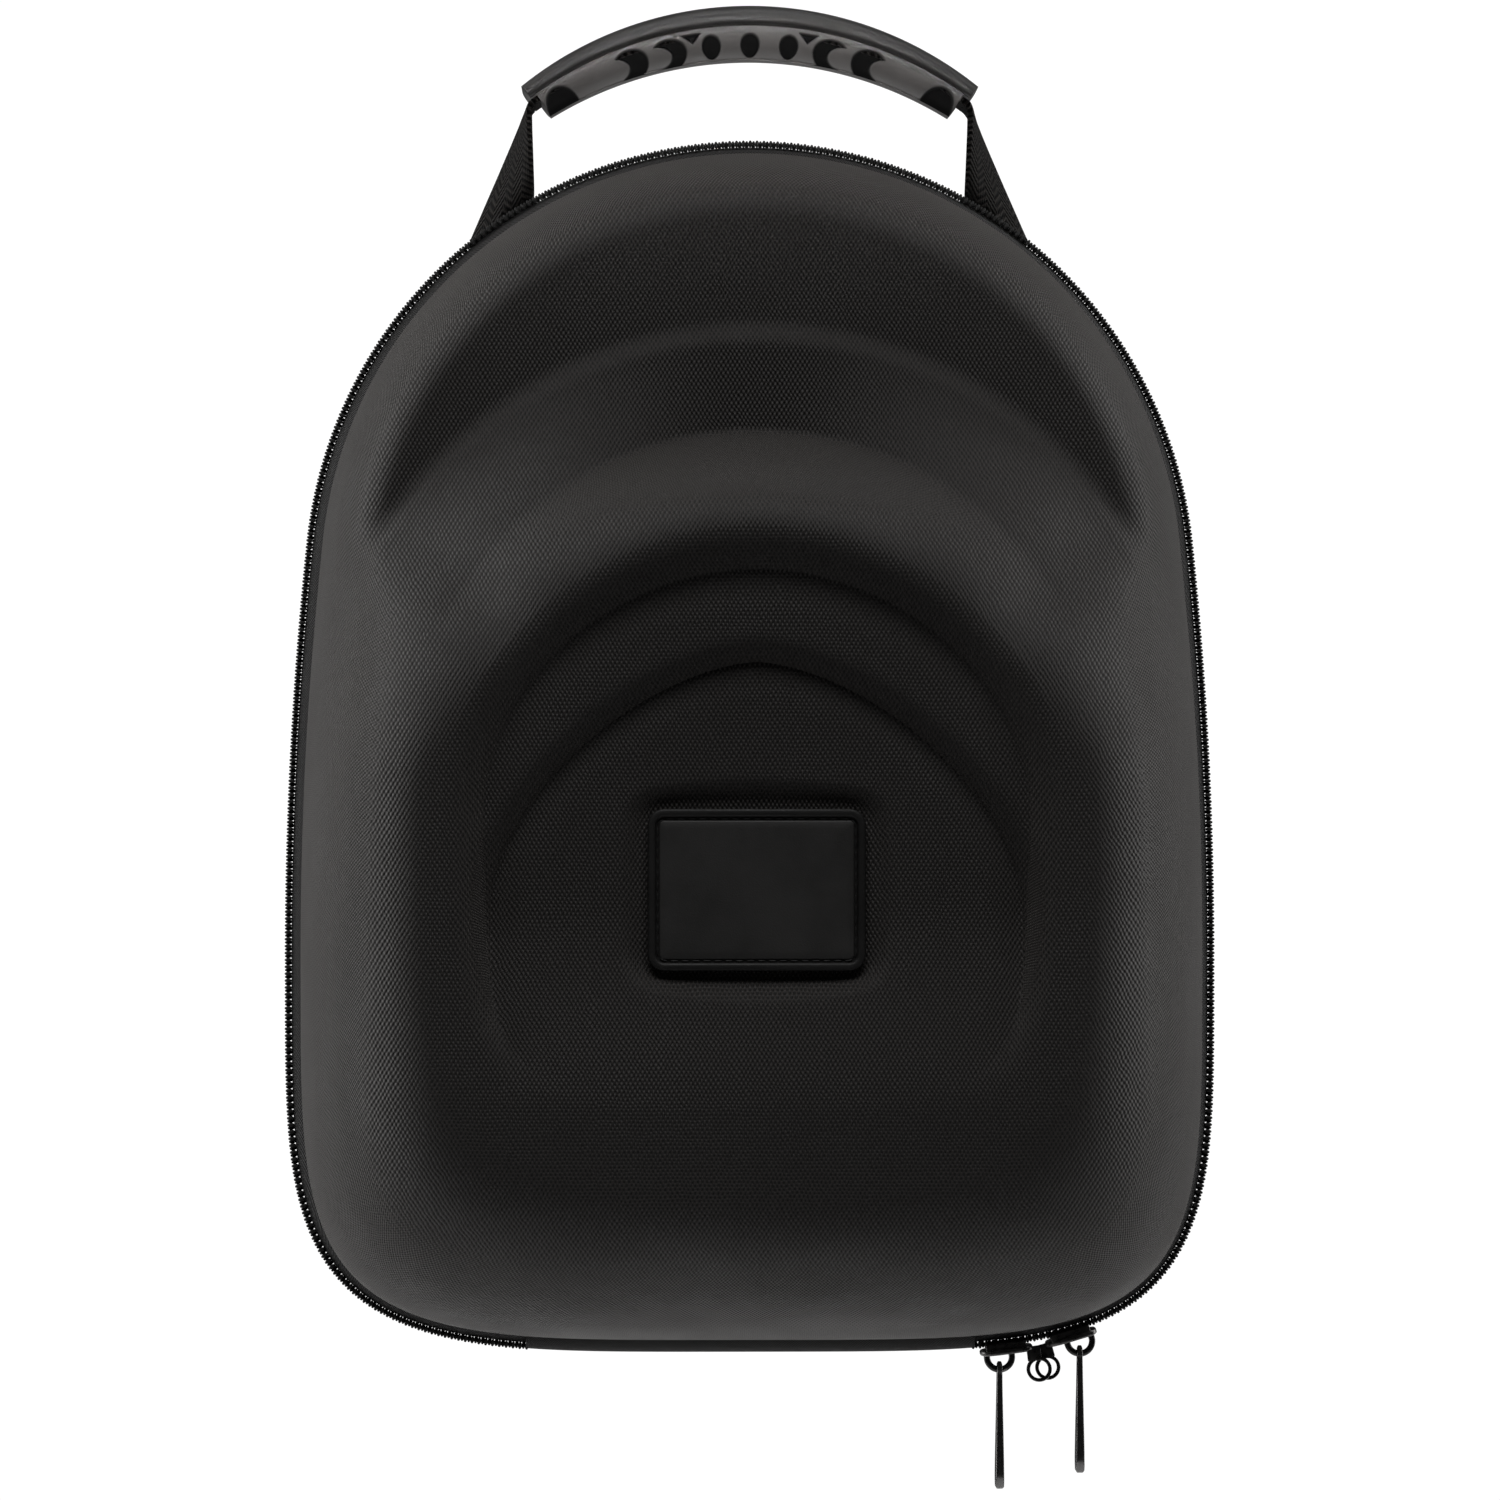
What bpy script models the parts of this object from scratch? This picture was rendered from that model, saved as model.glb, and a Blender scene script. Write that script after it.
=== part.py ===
"""Moulded cap case with a zipper round it, a gripped webbing handle and two zipper pulls.

Metres, +Z up. The front of the case faces -Y. The origin is at the middle of the grip's underside,
where fingers or a peg carry the case, and the case hangs below it.
"""
import math

import bmesh
import bpy
import numpy as np
from mathutils import Matrix, Vector

# Fit between neighbouring pieces
FIT = 0.0004

# Case outline, seen from the front
CASE_WIDTH = 0.2378
CASE_HEIGHT = 0.310
FINGER_GAP = 0.0215
WIDEST_SHARE = 0.671
TOP_RADIUS_SHARE = 0.959
SHOULDER_HEADING = math.radians(84.0)
CORNER_POWER = 4.35

# Shell walls and the band between their rims
WALL = 0.004
RIM_INSET = 0.005
RIM_REACH = 0.013

# Front shell: depths are forward of the zipper's plane
BRIM_DEPTH = 0.078
BRIM_EDGE = 0.020
CROWN_DEPTH = 0.122
CROWN_SLOPE = 0.035
CROWN_RADIUS = 0.1085
CROWN_CENTRE_DROP = 0.162
CROWN_WALL = 0.050
ARC_WIDTH = 0.012
ARC_STEP = 0.0025
LEDGE_WIDTH = 0.024
CONE_SHARE = 0.55
CONE_START = math.radians(90.0)
CONE_END = math.radians(40.0)
CLIMB_START = 1.3
CLIMB_END = 1.7
EDGE_SHARE = 0.95
SHOULDER_SHARE = 0.45
SHOULDER_END = math.radians(35.0)
MERGE_START = math.radians(36.0)
MERGE_END = math.radians(22.0)

# Sunk terraces on the crown's face
TERRACE_WIDTH = 0.1308
TERRACE_TOP_DROP = 0.1125
TERRACE_SPRING_DROP = 0.1705
TERRACE_FOOT_DROP = 0.2505
TERRACE_POWER = 1.9
TERRACE_WALL = 0.009
INNER_WIDTH = 0.1280
INNER_TOP_DROP = 0.1347
INNER_SPRING_DROP = 0.1925
INNER_FOOT_DROP = 0.2400
INNER_POWER = 1.62
INNER_WALL = 0.005
FOOT_POWER = 4.0
TERRACE_STEP = 0.0056
INNER_STEP = 0.0041

# Patch and its pocket
PATCH_WIDTH = 0.0525
PATCH_HEIGHT = 0.040
PATCH_DROP = 0.1894
PATCH_THICKNESS = 0.0024
PATCH_CORNER = 0.003
PATCH_RIM = 0.0022
PATCH_RIM_HEIGHT = 0.0006
POCKET_DEPTH = 0.0020
POCKET_MARGIN = 0.003
POCKET_SLOPE = 0.005
POCKET_POWER = 7.0

# Back shell: depth is behind the zipper's plane
BACK_DEPTH = 0.050
BACK_EDGE = 0.024

# Zipper band
TAPE_THICKNESS = 0.001
TAPE_TUCK = 0.004
TUCK_FIT = 0.0009
COIL_WIDTH = 0.0064
COIL_THICKNESS = 0.0019
HINGE_SHARE = 0.466
HINGE_THICKNESS = 0.0016
HINGE_SINK = 0.0006

# Handle
STRAP_WIDTH = 0.020
STRAP_THICKNESS = 0.002
STRAP_SPAN = 0.1274
GRIP_SPAN = 0.113
GRIP_RISE = 0.0181
GRIP_WIDTH = 0.031
GRIP_MIDDLE = 0.0133
GRIP_END = 0.0100
GRIP_BODY_SHARE = 0.82
GRIP_DIMPLE_DEPTH = 0.0014
STRAP_TWIST = 2.2
STRAP_CROWDING = 1.6

# Zipper sliders and pulls
SLIDER_LENGTH = 0.0136
SLIDER_WIDTH = 0.0112
SLIDER_PLATE = 0.00155
SLIDER_FLANGE = 0.0013
FLANGE_SHARE = 0.38
FLANGE_SINK = 0.6
SLIDER_SPACING = 0.0164
SLIDER_PARK = 0.0100
BRIDGE_RADIUS = 0.0032
BRIDGE_BAR = 0.00165
BRIDGE_LIFT = 0.0008
BRIDGE_SHIFT = 0.0019
LOCK_EYE = 0.0065
LOCK_WALL = 0.00075
LOCK_THICKNESS = 0.0012
LOCK_CLEARANCE = 0.15
PULL_LENGTH = 0.0327
PULL_WIDTH = 0.0086
PULL_WAIST = 0.0040
PULL_EYE = 0.0043
PULL_SPREAD_SHARE = 0.85
PULL_TOP_THICKNESS = 0.0013
PULL_END_THICKNESS = 0.0022

# Mesh density
SIDE_STATIONS = 17
HINGE_STATIONS = 3
RIM_RINGS = 6
CROWN_RINGS = 8
FACE_CROWDING = 2.2
BACK_RINGS = 7
OUTLINE_SAMPLES = 400
STRAP_STEPS = 10
GRIP_STEPS = 14
DIMPLE_SIDES = 10
BRIDGE_STEPS = 8
BAR_SIDES = 8
EYE_SIDES = 16
HOLE_SIDES = 12
CORNER_STEPS = 3
HALVINGS = 20

# Places worked out from the sizes above
CASE_TOP = -FINGER_GAP
HINGE_LENGTH = HINGE_SHARE * CASE_WIDTH
ZIP_Y = -(RIM_REACH - FIT - STRAP_THICKNESS / 2)
TAPE_ROOT = RIM_INSET + WALL + TUCK_FIT + TAPE_THICKNESS / 2
TAPE_MEET = COIL_THICKNESS + FIT + TAPE_THICKNESS / 2
HINGE_ROOT = RIM_INSET + WALL + TUCK_FIT + HINGE_THICKNESS / 2
CROWN_CENTRE = CASE_TOP - CROWN_CENTRE_DROP
PATCH_Z = CASE_TOP - PATCH_DROP

# Columns: way out from the root line to the coil, reach from the zipper's plane over the rim's reach
TAPE_BENDS = (
    (0.00, 0.88),
    (0.41, 0.62),
    (0.84, 0.33),
)

# Columns: way out from the root line to the gusset's crest, reach over the rim's reach
HINGE_BENDS = (
    (0.00, 0.86),
    (0.50, 0.62),
    (0.88, 0.38),
)

# Columns: half width over the grip's half width, height over the grip's thickness
GRIP_SECTION = (
    (0.00, 1.00),
    (0.62, 1.00),
    (0.92, 0.93),
    (1.00, 0.81),
    (1.00, 0.68),
    (0.93, 0.61),
    (GRIP_BODY_SHARE, 0.58),
    (GRIP_BODY_SHARE, 0.34),
    (0.72, 0.12),
    (0.42, 0.00),
    (0.00, 0.00),
)

# Columns: place over the grip's half span, height over its thickness there, width and height over
# its thickness at the middle
GRIP_DIMPLES = (
    (-0.555, 0.20, 0.35, 0.23),
    (-0.370, 0.24, 0.35, 0.23),
    (-0.184, 0.26, 0.37, 0.38),
    (0.000, 0.27, 0.37, 0.41),
    (0.184, 0.26, 0.37, 0.38),
    (0.370, 0.24, 0.35, 0.23),
    (0.555, 0.20, 0.35, 0.23),
)


def clear_scene():
    for thing in list(bpy.data.objects):
        bpy.data.objects.remove(thing, do_unlink=True)


def material(name, colour, roughness, metallic=0.0):
    """Return a plain surface of one colour."""
    surface = bpy.data.materials.new(name)
    surface.use_nodes = True
    shader = surface.node_tree.nodes["Principled BSDF"]
    shader.inputs["Base Color"].default_value = (*colour, 1.0)
    shader.inputs["Roughness"].default_value = roughness
    shader.inputs["Metallic"].default_value = metallic
    return surface


def add_object(name, mesh, surface=None, sharp=math.radians(40.0)):
    """Link a mesh as a smooth-shaded object."""
    thing = bpy.data.objects.new(name, mesh)
    bpy.context.scene.collection.objects.link(thing)
    if surface:
        mesh.materials.append(surface)
    mesh.shade_smooth()
    mesh.set_sharp_from_angle(angle=sharp)
    return thing


def hide_helper(thing):
    thing.hide_render = True
    thing.display_type = "WIRE"


def add_boolean(thing, helper, operation):
    """Cut a helper from an object, or fuse it on, and hide the helper."""
    hide_helper(helper)
    boolean = thing.modifiers.new(operation.title(), "BOOLEAN")
    boolean.operation = operation
    boolean.solver = "EXACT"
    boolean.object = helper


def loft_mesh(name, rings, first_cap=True, last_cap=True):
    """Join rings of equal count into a mesh, with flat caps on its first and last ring."""
    mesh = bpy.data.meshes.new(name)
    build = bmesh.new()
    rows = [[build.verts.new(point) for point in ring] for ring in rings]
    count = len(rows[0])
    for near, far in zip(rows, rows[1:]):
        for index in range(count):
            after = (index + 1) % count
            build.faces.new((near[index], near[after], far[after], far[index]))
    if first_cap:
        build.faces.new(list(reversed(rows[0])))
    if last_cap:
        build.faces.new(rows[-1])
    if first_cap and last_cap:
        bmesh.ops.recalc_face_normals(build, faces=build.faces)
    build.to_mesh(mesh)
    build.free()
    return mesh


def ramp(value, start, end):
    """Rise smoothly from 0 at start to 1 at end."""
    share = min(max((value - start) / (end - start), 0.0), 1.0)
    return share * share * (3.0 - 2.0 * share)


def round_over(share):
    """Rise from 0 to 1 along a quarter circle."""
    share = min(max(share, 0.0), 1.0)
    return math.sqrt(1.0 - (1.0 - share) ** 2)


def power_radius(angle, half_width, half_height, power):
    """Distance from the middle to a superellipse at an angle from the X axis."""
    across = abs(math.cos(angle) / half_width) ** power
    along = abs(math.sin(angle) / half_height) ** power
    return (across + along) ** (-1.0 / power)


def upper_outline(heading):
    """Point and normal on the outline from the top to its widest line."""
    half = CASE_WIDTH / 2
    top_radius = half * TOP_RADIUS_SHARE
    sine = math.sin(SHOULDER_HEADING)
    cosine = math.cos(SHOULDER_HEADING)
    side_radius = (half - top_radius * sine) / (1.0 - sine)
    stretch = CASE_HEIGHT * WIDEST_SHARE / (top_radius * (1.0 - cosine) + side_radius * cosine)
    first = min(heading, SHOULDER_HEADING)
    second = max(heading, SHOULDER_HEADING)
    x = top_radius * math.sin(first) + side_radius * (math.sin(second) - sine)
    drop = top_radius * (1.0 - math.cos(first)) + side_radius * (cosine - math.cos(second))
    normal = Vector((math.sin(heading) * stretch, math.cos(heading))).normalized()
    return Vector((x, CASE_TOP - drop * stretch)), normal


def lower_outline(angle):
    """Point and normal on the outline from its widest line to the bottom."""
    half = CASE_WIDTH / 2
    upper = CASE_HEIGHT * WIDEST_SHARE
    lower = CASE_HEIGHT - upper
    reach = power_radius(angle, half, lower, CORNER_POWER)
    x = reach * max(math.cos(angle), 0.0)
    drop = reach * math.sin(angle)
    normal = Vector(((x / half) ** (CORNER_POWER - 1.0) / half,
                     -(drop / lower) ** (CORNER_POWER - 1.0) / lower)).normalized()
    return Vector((x, CASE_TOP - upper - drop)), normal


def outline(travel):
    """Point and normal on the right half: 0 is the top, 0.5 the widest line and 1 the bottom."""
    if travel <= 0.5:
        return upper_outline(math.pi * travel)
    return lower_outline(math.pi * (travel - 0.5))


def travel_at_width(x):
    """Travel of the outline's lower point that lies x to the right of the middle."""
    half = CASE_WIDTH / 2
    lower = CASE_HEIGHT * (1.0 - WIDEST_SHARE)
    drop = lower * (1.0 - (x / half) ** CORNER_POWER) ** (1.0 / CORNER_POWER)
    return 0.5 + math.atan2(drop, x) / math.pi


def spread_travel(start, end, count):
    """Travels from start to end, spaced by length and by turn in equal parts."""
    fine = np.linspace(start, end, OUTLINE_SAMPLES)
    samples = [outline(travel) for travel in fine]
    lengths = [0.0]
    turns = [0.0]
    for (near, near_normal), (far, far_normal) in zip(samples, samples[1:]):
        lengths.append(lengths[-1] + (far - near).length)
        turns.append(turns[-1] + near_normal.angle(far_normal, 0.0))
    effort = np.array(lengths) / lengths[-1] + np.array(turns) / turns[-1]
    return list(np.interp(np.linspace(0.0, effort[-1], count + 1), effort, fine))


def right_travels():
    """Stations down the right half, one of them at the gusset's end."""
    hinge_travel = travel_at_width(HINGE_LENGTH / 2)
    side = spread_travel(0.0, hinge_travel, SIDE_STATIONS)
    return side, spread_travel(hinge_travel, 1.0, HINGE_STATIONS)[1:]


def both_sides(travels):
    """Points and normals from the left, over the top, to the right."""
    right = [outline(travel) for travel in travels]
    left = [(Vector((-point.x, point.y)), Vector((-normal.x, normal.y)))
            for point, normal in reversed(right[1:])]
    return left + right


def loop_stations():
    """Points and normals round the whole outline, from the top down the right side."""
    side, bottom = right_travels()
    over_top = both_sides(side + bottom)
    middle = len(over_top) // 2
    return over_top[middle:] + over_top[1:middle]


def from_centre(centre_z, toward):
    """Distance and angle from a point on the middle line, the angle from the X axis."""
    x = toward.x
    rise = toward.y - centre_z
    return math.hypot(x, rise), math.atan2(rise, x)


def terrace_radius(angle, width, top_drop, spring_drop, foot_drop, power):
    """Reach of a terrace's edge from its spring point."""
    if angle > 0.0:
        return power_radius(angle, width / 2, spring_drop - top_drop, power)
    return power_radius(angle, width / 2, foot_drop - spring_drop, FOOT_POWER)


def terrace_offset(place, inner):
    """Signed distance of a place outside a terrace's crease, along a ray from its spring point."""
    if inner:
        sizes = (INNER_WIDTH, INNER_TOP_DROP, INNER_SPRING_DROP, INNER_FOOT_DROP, INNER_POWER)
    else:
        sizes = (TERRACE_WIDTH, TERRACE_TOP_DROP, TERRACE_SPRING_DROP, TERRACE_FOOT_DROP,
                 TERRACE_POWER)
    reach, angle = from_centre(CASE_TOP - sizes[2], place)
    return reach - terrace_radius(angle, *sizes)


def pocket_offset(place):
    """Signed distance of a place outside the flat floor of the patch's pocket."""
    reach, angle = from_centre(PATCH_Z, place)
    floor = power_radius(angle, PATCH_WIDTH / 2 + POCKET_MARGIN,
                         PATCH_HEIGHT / 2 + POCKET_MARGIN, POCKET_POWER)
    return reach - floor


def crown_depth(z):
    """Depth of the crown's face before the terraces, highest at the top."""
    crest = CASE_TOP - TERRACE_TOP_DROP
    return CROWN_DEPTH - CROWN_SLOPE * max(crest - z, 0.0)


def face_depth(place):
    """Depth of the crown's face with its terraces and the pocket."""
    spring = CASE_TOP - INNER_SPRING_DROP
    foot = CASE_TOP - TERRACE_FOOT_DROP
    fade = ramp(place.y, foot, spring)
    drop = TERRACE_STEP * (1.0 - round_over(terrace_offset(place, False) / TERRACE_WALL))
    drop += INNER_STEP * (1.0 - round_over(terrace_offset(place, True) / INNER_WALL))
    depth = crown_depth(place.y) - drop * fade
    floor = pocket_floor_depth()
    sunk = ramp(pocket_offset(place), POCKET_SLOPE, 0.0)
    return depth + (floor - depth) * sunk


def pocket_floor_depth():
    """Depth of the flat floor that the patch lies on."""
    return crown_depth(PATCH_Z) - TERRACE_STEP - INNER_STEP - POCKET_DEPTH


def climb(share):
    """Rise from 0 to 1 with an even slope between a soft start and a soft end."""
    share = min(max(share, 0.0), 1.0)
    return 1.0 - (1.0 - share ** CLIMB_START) ** CLIMB_END


def shoulder_rise(inland, angle):
    """Rise from the arc's ledge, 0, to the crown's face, 1: a step at the top, a cone at the sides."""
    step = climb((inland - LEDGE_WIDTH) / (CROWN_WALL - LEDGE_WIDTH))
    cone = climb(inland / CROWN_WALL)
    return step + (cone - step) * CONE_SHARE * ramp(angle, CONE_START, CONE_END)


def shell_depth(place, run, full_run):
    """Depth of the front shell at a run inwards from its rim."""
    reach, angle = from_centre(CROWN_CENTRE, Vector((abs(place.x), place.y)))
    inland = CROWN_RADIUS - reach
    plate = BRIM_DEPTH + ARC_STEP * ramp(inland, -ARC_WIDTH / 2, ARC_WIDTH / 2)
    ledge = RIM_REACH + (plate - RIM_REACH) * round_over(run / BRIM_EDGE)
    face = face_depth(place)
    stepped = ledge + (face - ledge) * shoulder_rise(inland, angle)
    edge = full_run * (EDGE_SHARE + SHOULDER_SHARE * ramp(angle, 0.0, SHOULDER_END))
    crown = RIM_REACH + (face - RIM_REACH) * round_over(run / edge) / round_over(full_run / edge)
    return stepped + (min(crown, face) - stepped) * ramp(angle, MERGE_START, MERGE_END)


def ray_point(centre_z, toward, reach):
    """Point at a reach from the middle line, in the direction of another point."""
    direction = Vector((toward.x, toward.y - centre_z)).normalized()
    return Vector((0.0, centre_z)) + direction * reach


def terrace_point(toward, outside):
    """Point a distance outside the outer terrace's crease, on the ray to the rim."""
    spring = CASE_TOP - TERRACE_SPRING_DROP
    reach, _ = from_centre(spring, toward)
    return ray_point(spring, toward, reach - terrace_offset(toward, False) + outside)


def pocket_point(toward, outside):
    """Point a distance outside the pocket's floor, on the ray to the rim."""
    reach, _ = from_centre(PATCH_Z, toward)
    return ray_point(PATCH_Z, toward, reach - pocket_offset(toward) + outside)


def share_at_offset(near, far, offset):
    """Share of the way from near to far where the inner terrace's offset falls to a value."""
    low = 0.0
    high = 1.0
    for _ in range(HALVINGS):
        middle = (low + high) / 2
        if terrace_offset(near.lerp(far, middle), True) > offset:
            low = middle
        else:
            high = middle
    return high


def foot_run(rim, crest):
    """Run from the rim to the crown's arc, kept inside the ray."""
    low = 0.0
    high = 1.0
    for _ in range(HALVINGS):
        middle = (low + high) / 2
        place = rim.lerp(crest, middle)
        if math.hypot(place.x, place.y - CROWN_CENTRE) > CROWN_RADIUS:
            low = middle
        else:
            high = middle
    full = (crest - rim).length
    return min(max(high * full, ARC_WIDTH), full - ARC_WIDTH)


def front_ray(rim):
    """Places and depths from a rim point to the floor of the pocket."""
    crest = terrace_point(rim, TERRACE_WALL)
    full_run = (crest - rim).length
    foot = foot_run(rim, crest)
    runs = [(foot - ARC_WIDTH / 2) * (step / RIM_RINGS) ** FACE_CROWDING for step in range(RIM_RINGS + 1)]
    runs += [foot, foot + ARC_WIDTH / 2]
    left = full_run - runs[-1]
    runs += [full_run - left * (1.0 - (step + 1) / CROWN_RINGS) for step in range(CROWN_RINGS)]
    column = []
    for run in runs:
        place = rim.lerp(crest, run / full_run)
        column.append((place, shell_depth(place, run, full_run)))
    crease = terrace_point(rim, 0.0)
    pocket_crest = pocket_point(rim, POCKET_SLOPE)
    inner_share = max(share_at_offset(crease, pocket_crest, 0.0), 0.1)
    wall_share = max(share_at_offset(crease, pocket_crest, INNER_WALL), inner_share * 0.4)
    halfway = crest.lerp(crease, 0.5)
    column.append((halfway, shell_depth(halfway, full_run + (halfway - crest).length, full_run)))
    further = (
        crease,
        crease.lerp(pocket_crest, wall_share),
        crease.lerp(pocket_crest, inner_share),
        crease.lerp(pocket_crest, (1.0 + inner_share) / 2),
        pocket_crest,
        pocket_point(rim, 0.0),
    )
    column += [(place, face_depth(place)) for place in further]
    return column


def add_shell(name, columns, sign, surface):
    """Build an open bowl from columns of places and depths, then give it its wall."""
    rings = []
    for level in zip(*columns):
        rings.append([(place.x, ZIP_Y + sign * depth, place.y) for place, depth in level])
    if sign < 0:
        rings = [list(reversed(ring)) for ring in rings]
    shell = add_object(name, loft_mesh(name, rings, first_cap=False), surface)
    wall = shell.modifiers.new("Wall", "SOLIDIFY")
    wall.thickness = WALL
    wall.offset = -1.0
    wall.use_even_offset = True
    return shell


def make_front_shell(surface):
    columns = []
    for point, normal in loop_stations():
        columns.append(front_ray(point - normal * RIM_INSET))
    return add_shell("front_shell", columns, -1.0, surface)


def make_back_shell(surface):
    columns = []
    for point, normal in loop_stations():
        column = []
        for step in range(BACK_RINGS + 1):
            turn = math.pi / 2 * step / BACK_RINGS
            inset = RIM_INSET + BACK_EDGE * (1.0 - math.cos(turn))
            depth = RIM_REACH + (BACK_DEPTH - RIM_REACH) * math.sin(turn)
            column.append((point - normal * inset, depth))
        columns.append(column)
    return add_shell("back_shell", columns, 1.0, surface)


def ribbon_loop(line, thickness):
    """Closed loop round a line of (sink, reach) points, half the thickness to each side."""
    points = [Vector(point) for point in line]
    sides = []
    for index, point in enumerate(points):
        before = points[max(index - 1, 0)]
        after = points[min(index + 1, len(points) - 1)]
        along = (after - before).normalized()
        sides.append((point, Vector((-along.y, along.x)) * thickness / 2))
    outer = [point + side for point, side in sides]
    inner = [point - side for point, side in reversed(sides)]
    return outer + inner


def add_band(name, stations, section, surface):
    """Sweep a closed section of (sink, reach) points along outline stations."""
    rings = []
    for point, normal in stations:
        ring = []
        for sink, reach in section:
            place = point - normal * sink
            ring.append((place.x, ZIP_Y + reach, place.y))
        rings.append(ring)
    return add_object(name, loft_mesh(name, rings), surface)


def bend_line(root, crest, bends):
    """Line of (sink, reach) points from the tucked root to the last bend."""
    line = [(root, RIM_REACH + TAPE_TUCK)]
    for way, reach in bends:
        line.append((root + (crest - root) * way, reach * RIM_REACH))
    return line


def zipper_stations():
    """Outline stations over the top, from one end of the gusset to the other."""
    side, _ = right_travels()
    side[-1] = travel_at_width(HINGE_LENGTH / 2 + FIT)
    return both_sides(side)


def make_tapes(surface_front, surface_back):
    """Two cloth bands that come out of the shells and meet under the coil."""
    line = bend_line(TAPE_ROOT, TAPE_MEET, TAPE_BENDS) + [(TAPE_MEET, FIT / 2)]
    back = ribbon_loop(line, TAPE_THICKNESS)
    front = [(sink, -reach) for sink, reach in reversed(back)]
    stations = zipper_stations()
    add_band("zipper_tape_front", stations, front, surface_front)
    add_band("zipper_tape_back", stations, back, surface_back)


def make_coil(surface):
    half = COIL_WIDTH / 2
    bevel = COIL_THICKNESS / 3
    section = (
        (COIL_THICKNESS, -half),
        (bevel, -half),
        (0.0, bevel - half),
        (0.0, half - bevel),
        (bevel, half),
        (COIL_THICKNESS, half),
    )
    add_band("zipper_coil", zipper_stations(), section, surface)


def make_hinge(surface):
    """Cloth band along the bottom, from inside one shell to inside the other."""
    side, bottom = right_travels()
    right = [outline(travel) for travel in [side[-1]] + bottom]
    left = [(Vector((-point.x, point.y)), Vector((-normal.x, normal.y)))
            for point, normal in reversed(right[:-1])]
    crest = HINGE_SINK + HINGE_THICKNESS / 2
    half_line = bend_line(HINGE_ROOT, crest, HINGE_BENDS)
    other_half = [(sink, -reach) for sink, reach in reversed(half_line)]
    line = half_line + [(crest, 0.0)] + other_half
    add_band("hinge_gusset", right + left, ribbon_loop(line, HINGE_THICKNESS), surface)


def rounded_rectangle(width, height, corner):
    """Points round a rectangle with round corners, in X and Z."""
    points = []
    for quarter in range(4):
        sign_x = 1.0 if quarter in (0, 3) else -1.0
        sign_z = 1.0 if quarter in (0, 1) else -1.0
        centre = Vector((sign_x * (width / 2 - corner), sign_z * (height / 2 - corner)))
        for step in range(CORNER_STEPS + 1):
            angle = math.pi / 2 * (quarter + step / CORNER_STEPS)
            points.append(centre + Vector((math.cos(angle), math.sin(angle))) * corner)
    return points


def make_patch(surface):
    """Soft badge on the pocket's floor, with a raised rim and a bare field."""
    back = ZIP_Y - pocket_floor_depth() - FIT
    face = back - PATCH_THICKNESS
    rim = face - PATCH_RIM_HEIGHT
    # Columns: inset from the badge's edge, y
    steps = (
        (PATCH_RIM / 4, back),
        (0.0, back - PATCH_THICKNESS / 4),
        (0.0, face),
        (PATCH_RIM / 4, rim),
        (PATCH_RIM * 3 / 4, rim),
        (PATCH_RIM, face),
    )
    rings = []
    for inset, y in steps:
        width = PATCH_WIDTH - 2 * inset
        height = PATCH_HEIGHT - 2 * inset
        outline_points = rounded_rectangle(width, height, PATCH_CORNER - inset)
        rings.append([(point.x, y, PATCH_Z + point.y) for point in outline_points])
    add_object("patch", loft_mesh("patch", rings), surface)


def grip_radius():
    """Radius of the arc through the middle of the grip."""
    half = GRIP_SPAN / 2
    return (half * half + GRIP_RISE * GRIP_RISE) / (2 * GRIP_RISE)


def grip_frame(turn):
    """Middle point and outward direction of the grip at a turn from its apex."""
    radius = grip_radius()
    outward = Vector((math.sin(turn), 0.0, math.cos(turn)))
    centre = Vector((0.0, 0.0, GRIP_MIDDLE / 2 - radius))
    return centre + outward * radius, outward


def grip_turn():
    """Turn from the grip's apex to its end."""
    return math.asin(GRIP_SPAN / 2 / grip_radius())


def grip_thickness(turn):
    share = (turn / grip_turn()) ** 2
    return GRIP_MIDDLE + (GRIP_END - GRIP_MIDDLE) * share


def rectangle_ring(middle, across, through, width, thickness):
    """Four corners of a strap's section."""
    corners = ((1, 1), (-1, 1), (-1, -1), (1, -1))
    return [middle + across * (width / 2 * side) + through * (thickness / 2 * up)
            for side, up in corners]


def strap_root():
    """Point, normal and tangent of the outline where the right end of the strap is sewn."""
    half_span = STRAP_SPAN / 2
    fine = np.linspace(0.0, 0.5, OUTLINE_SAMPLES)
    widths = [outline(travel)[0].x for travel in fine]
    point, normal = outline(float(np.interp(half_span, widths, fine)))
    return point, normal, Vector((normal.y, -normal.x))


def right_leg():
    """Sections of the strap from the grip's end to the root, turning from edge-on to flat."""
    point, normal, tangent = strap_root()
    start, outward = grip_frame(grip_turn())
    leave = Vector((outward.z, 0.0, -outward.x))
    root = Vector((point.x, 0.0, point.y))
    inside = root - Vector((normal.x, 0.0, normal.y)) * (RIM_INSET + WALL / 2)
    root_across = Vector((tangent.x, 0.0, tangent.y))
    first = start + leave * STRAP_THICKNESS * 1.5
    rings = []
    for step in range(STRAP_STEPS + 1):
        share = 1.0 - (1.0 - step / STRAP_STEPS) ** STRAP_CROWDING
        middle = first.lerp(root, share)
        along = ((root - first).normalized() * share + leave * (1.0 - share)).normalized()
        turn = math.pi / 2 * share ** STRAP_TWIST
        flat = (root_across - along * root_across.dot(along)).normalized()
        flat = flat.lerp(root_across, share ** 2).normalized()
        across = Vector((0.0, 1.0, 0.0)) * math.cos(turn) + flat * math.sin(turn)
        through = along.cross(across).normalized()
        if step == STRAP_STEPS:
            through = Vector((0.0, -1.0, 0.0))
        rings.append(rectangle_ring(middle, across, through, STRAP_WIDTH, STRAP_THICKNESS))
    rings.append(rectangle_ring(inside, root_across, Vector((0.0, -1.0, 0.0)),
                                STRAP_WIDTH, STRAP_THICKNESS))
    return rings


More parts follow.
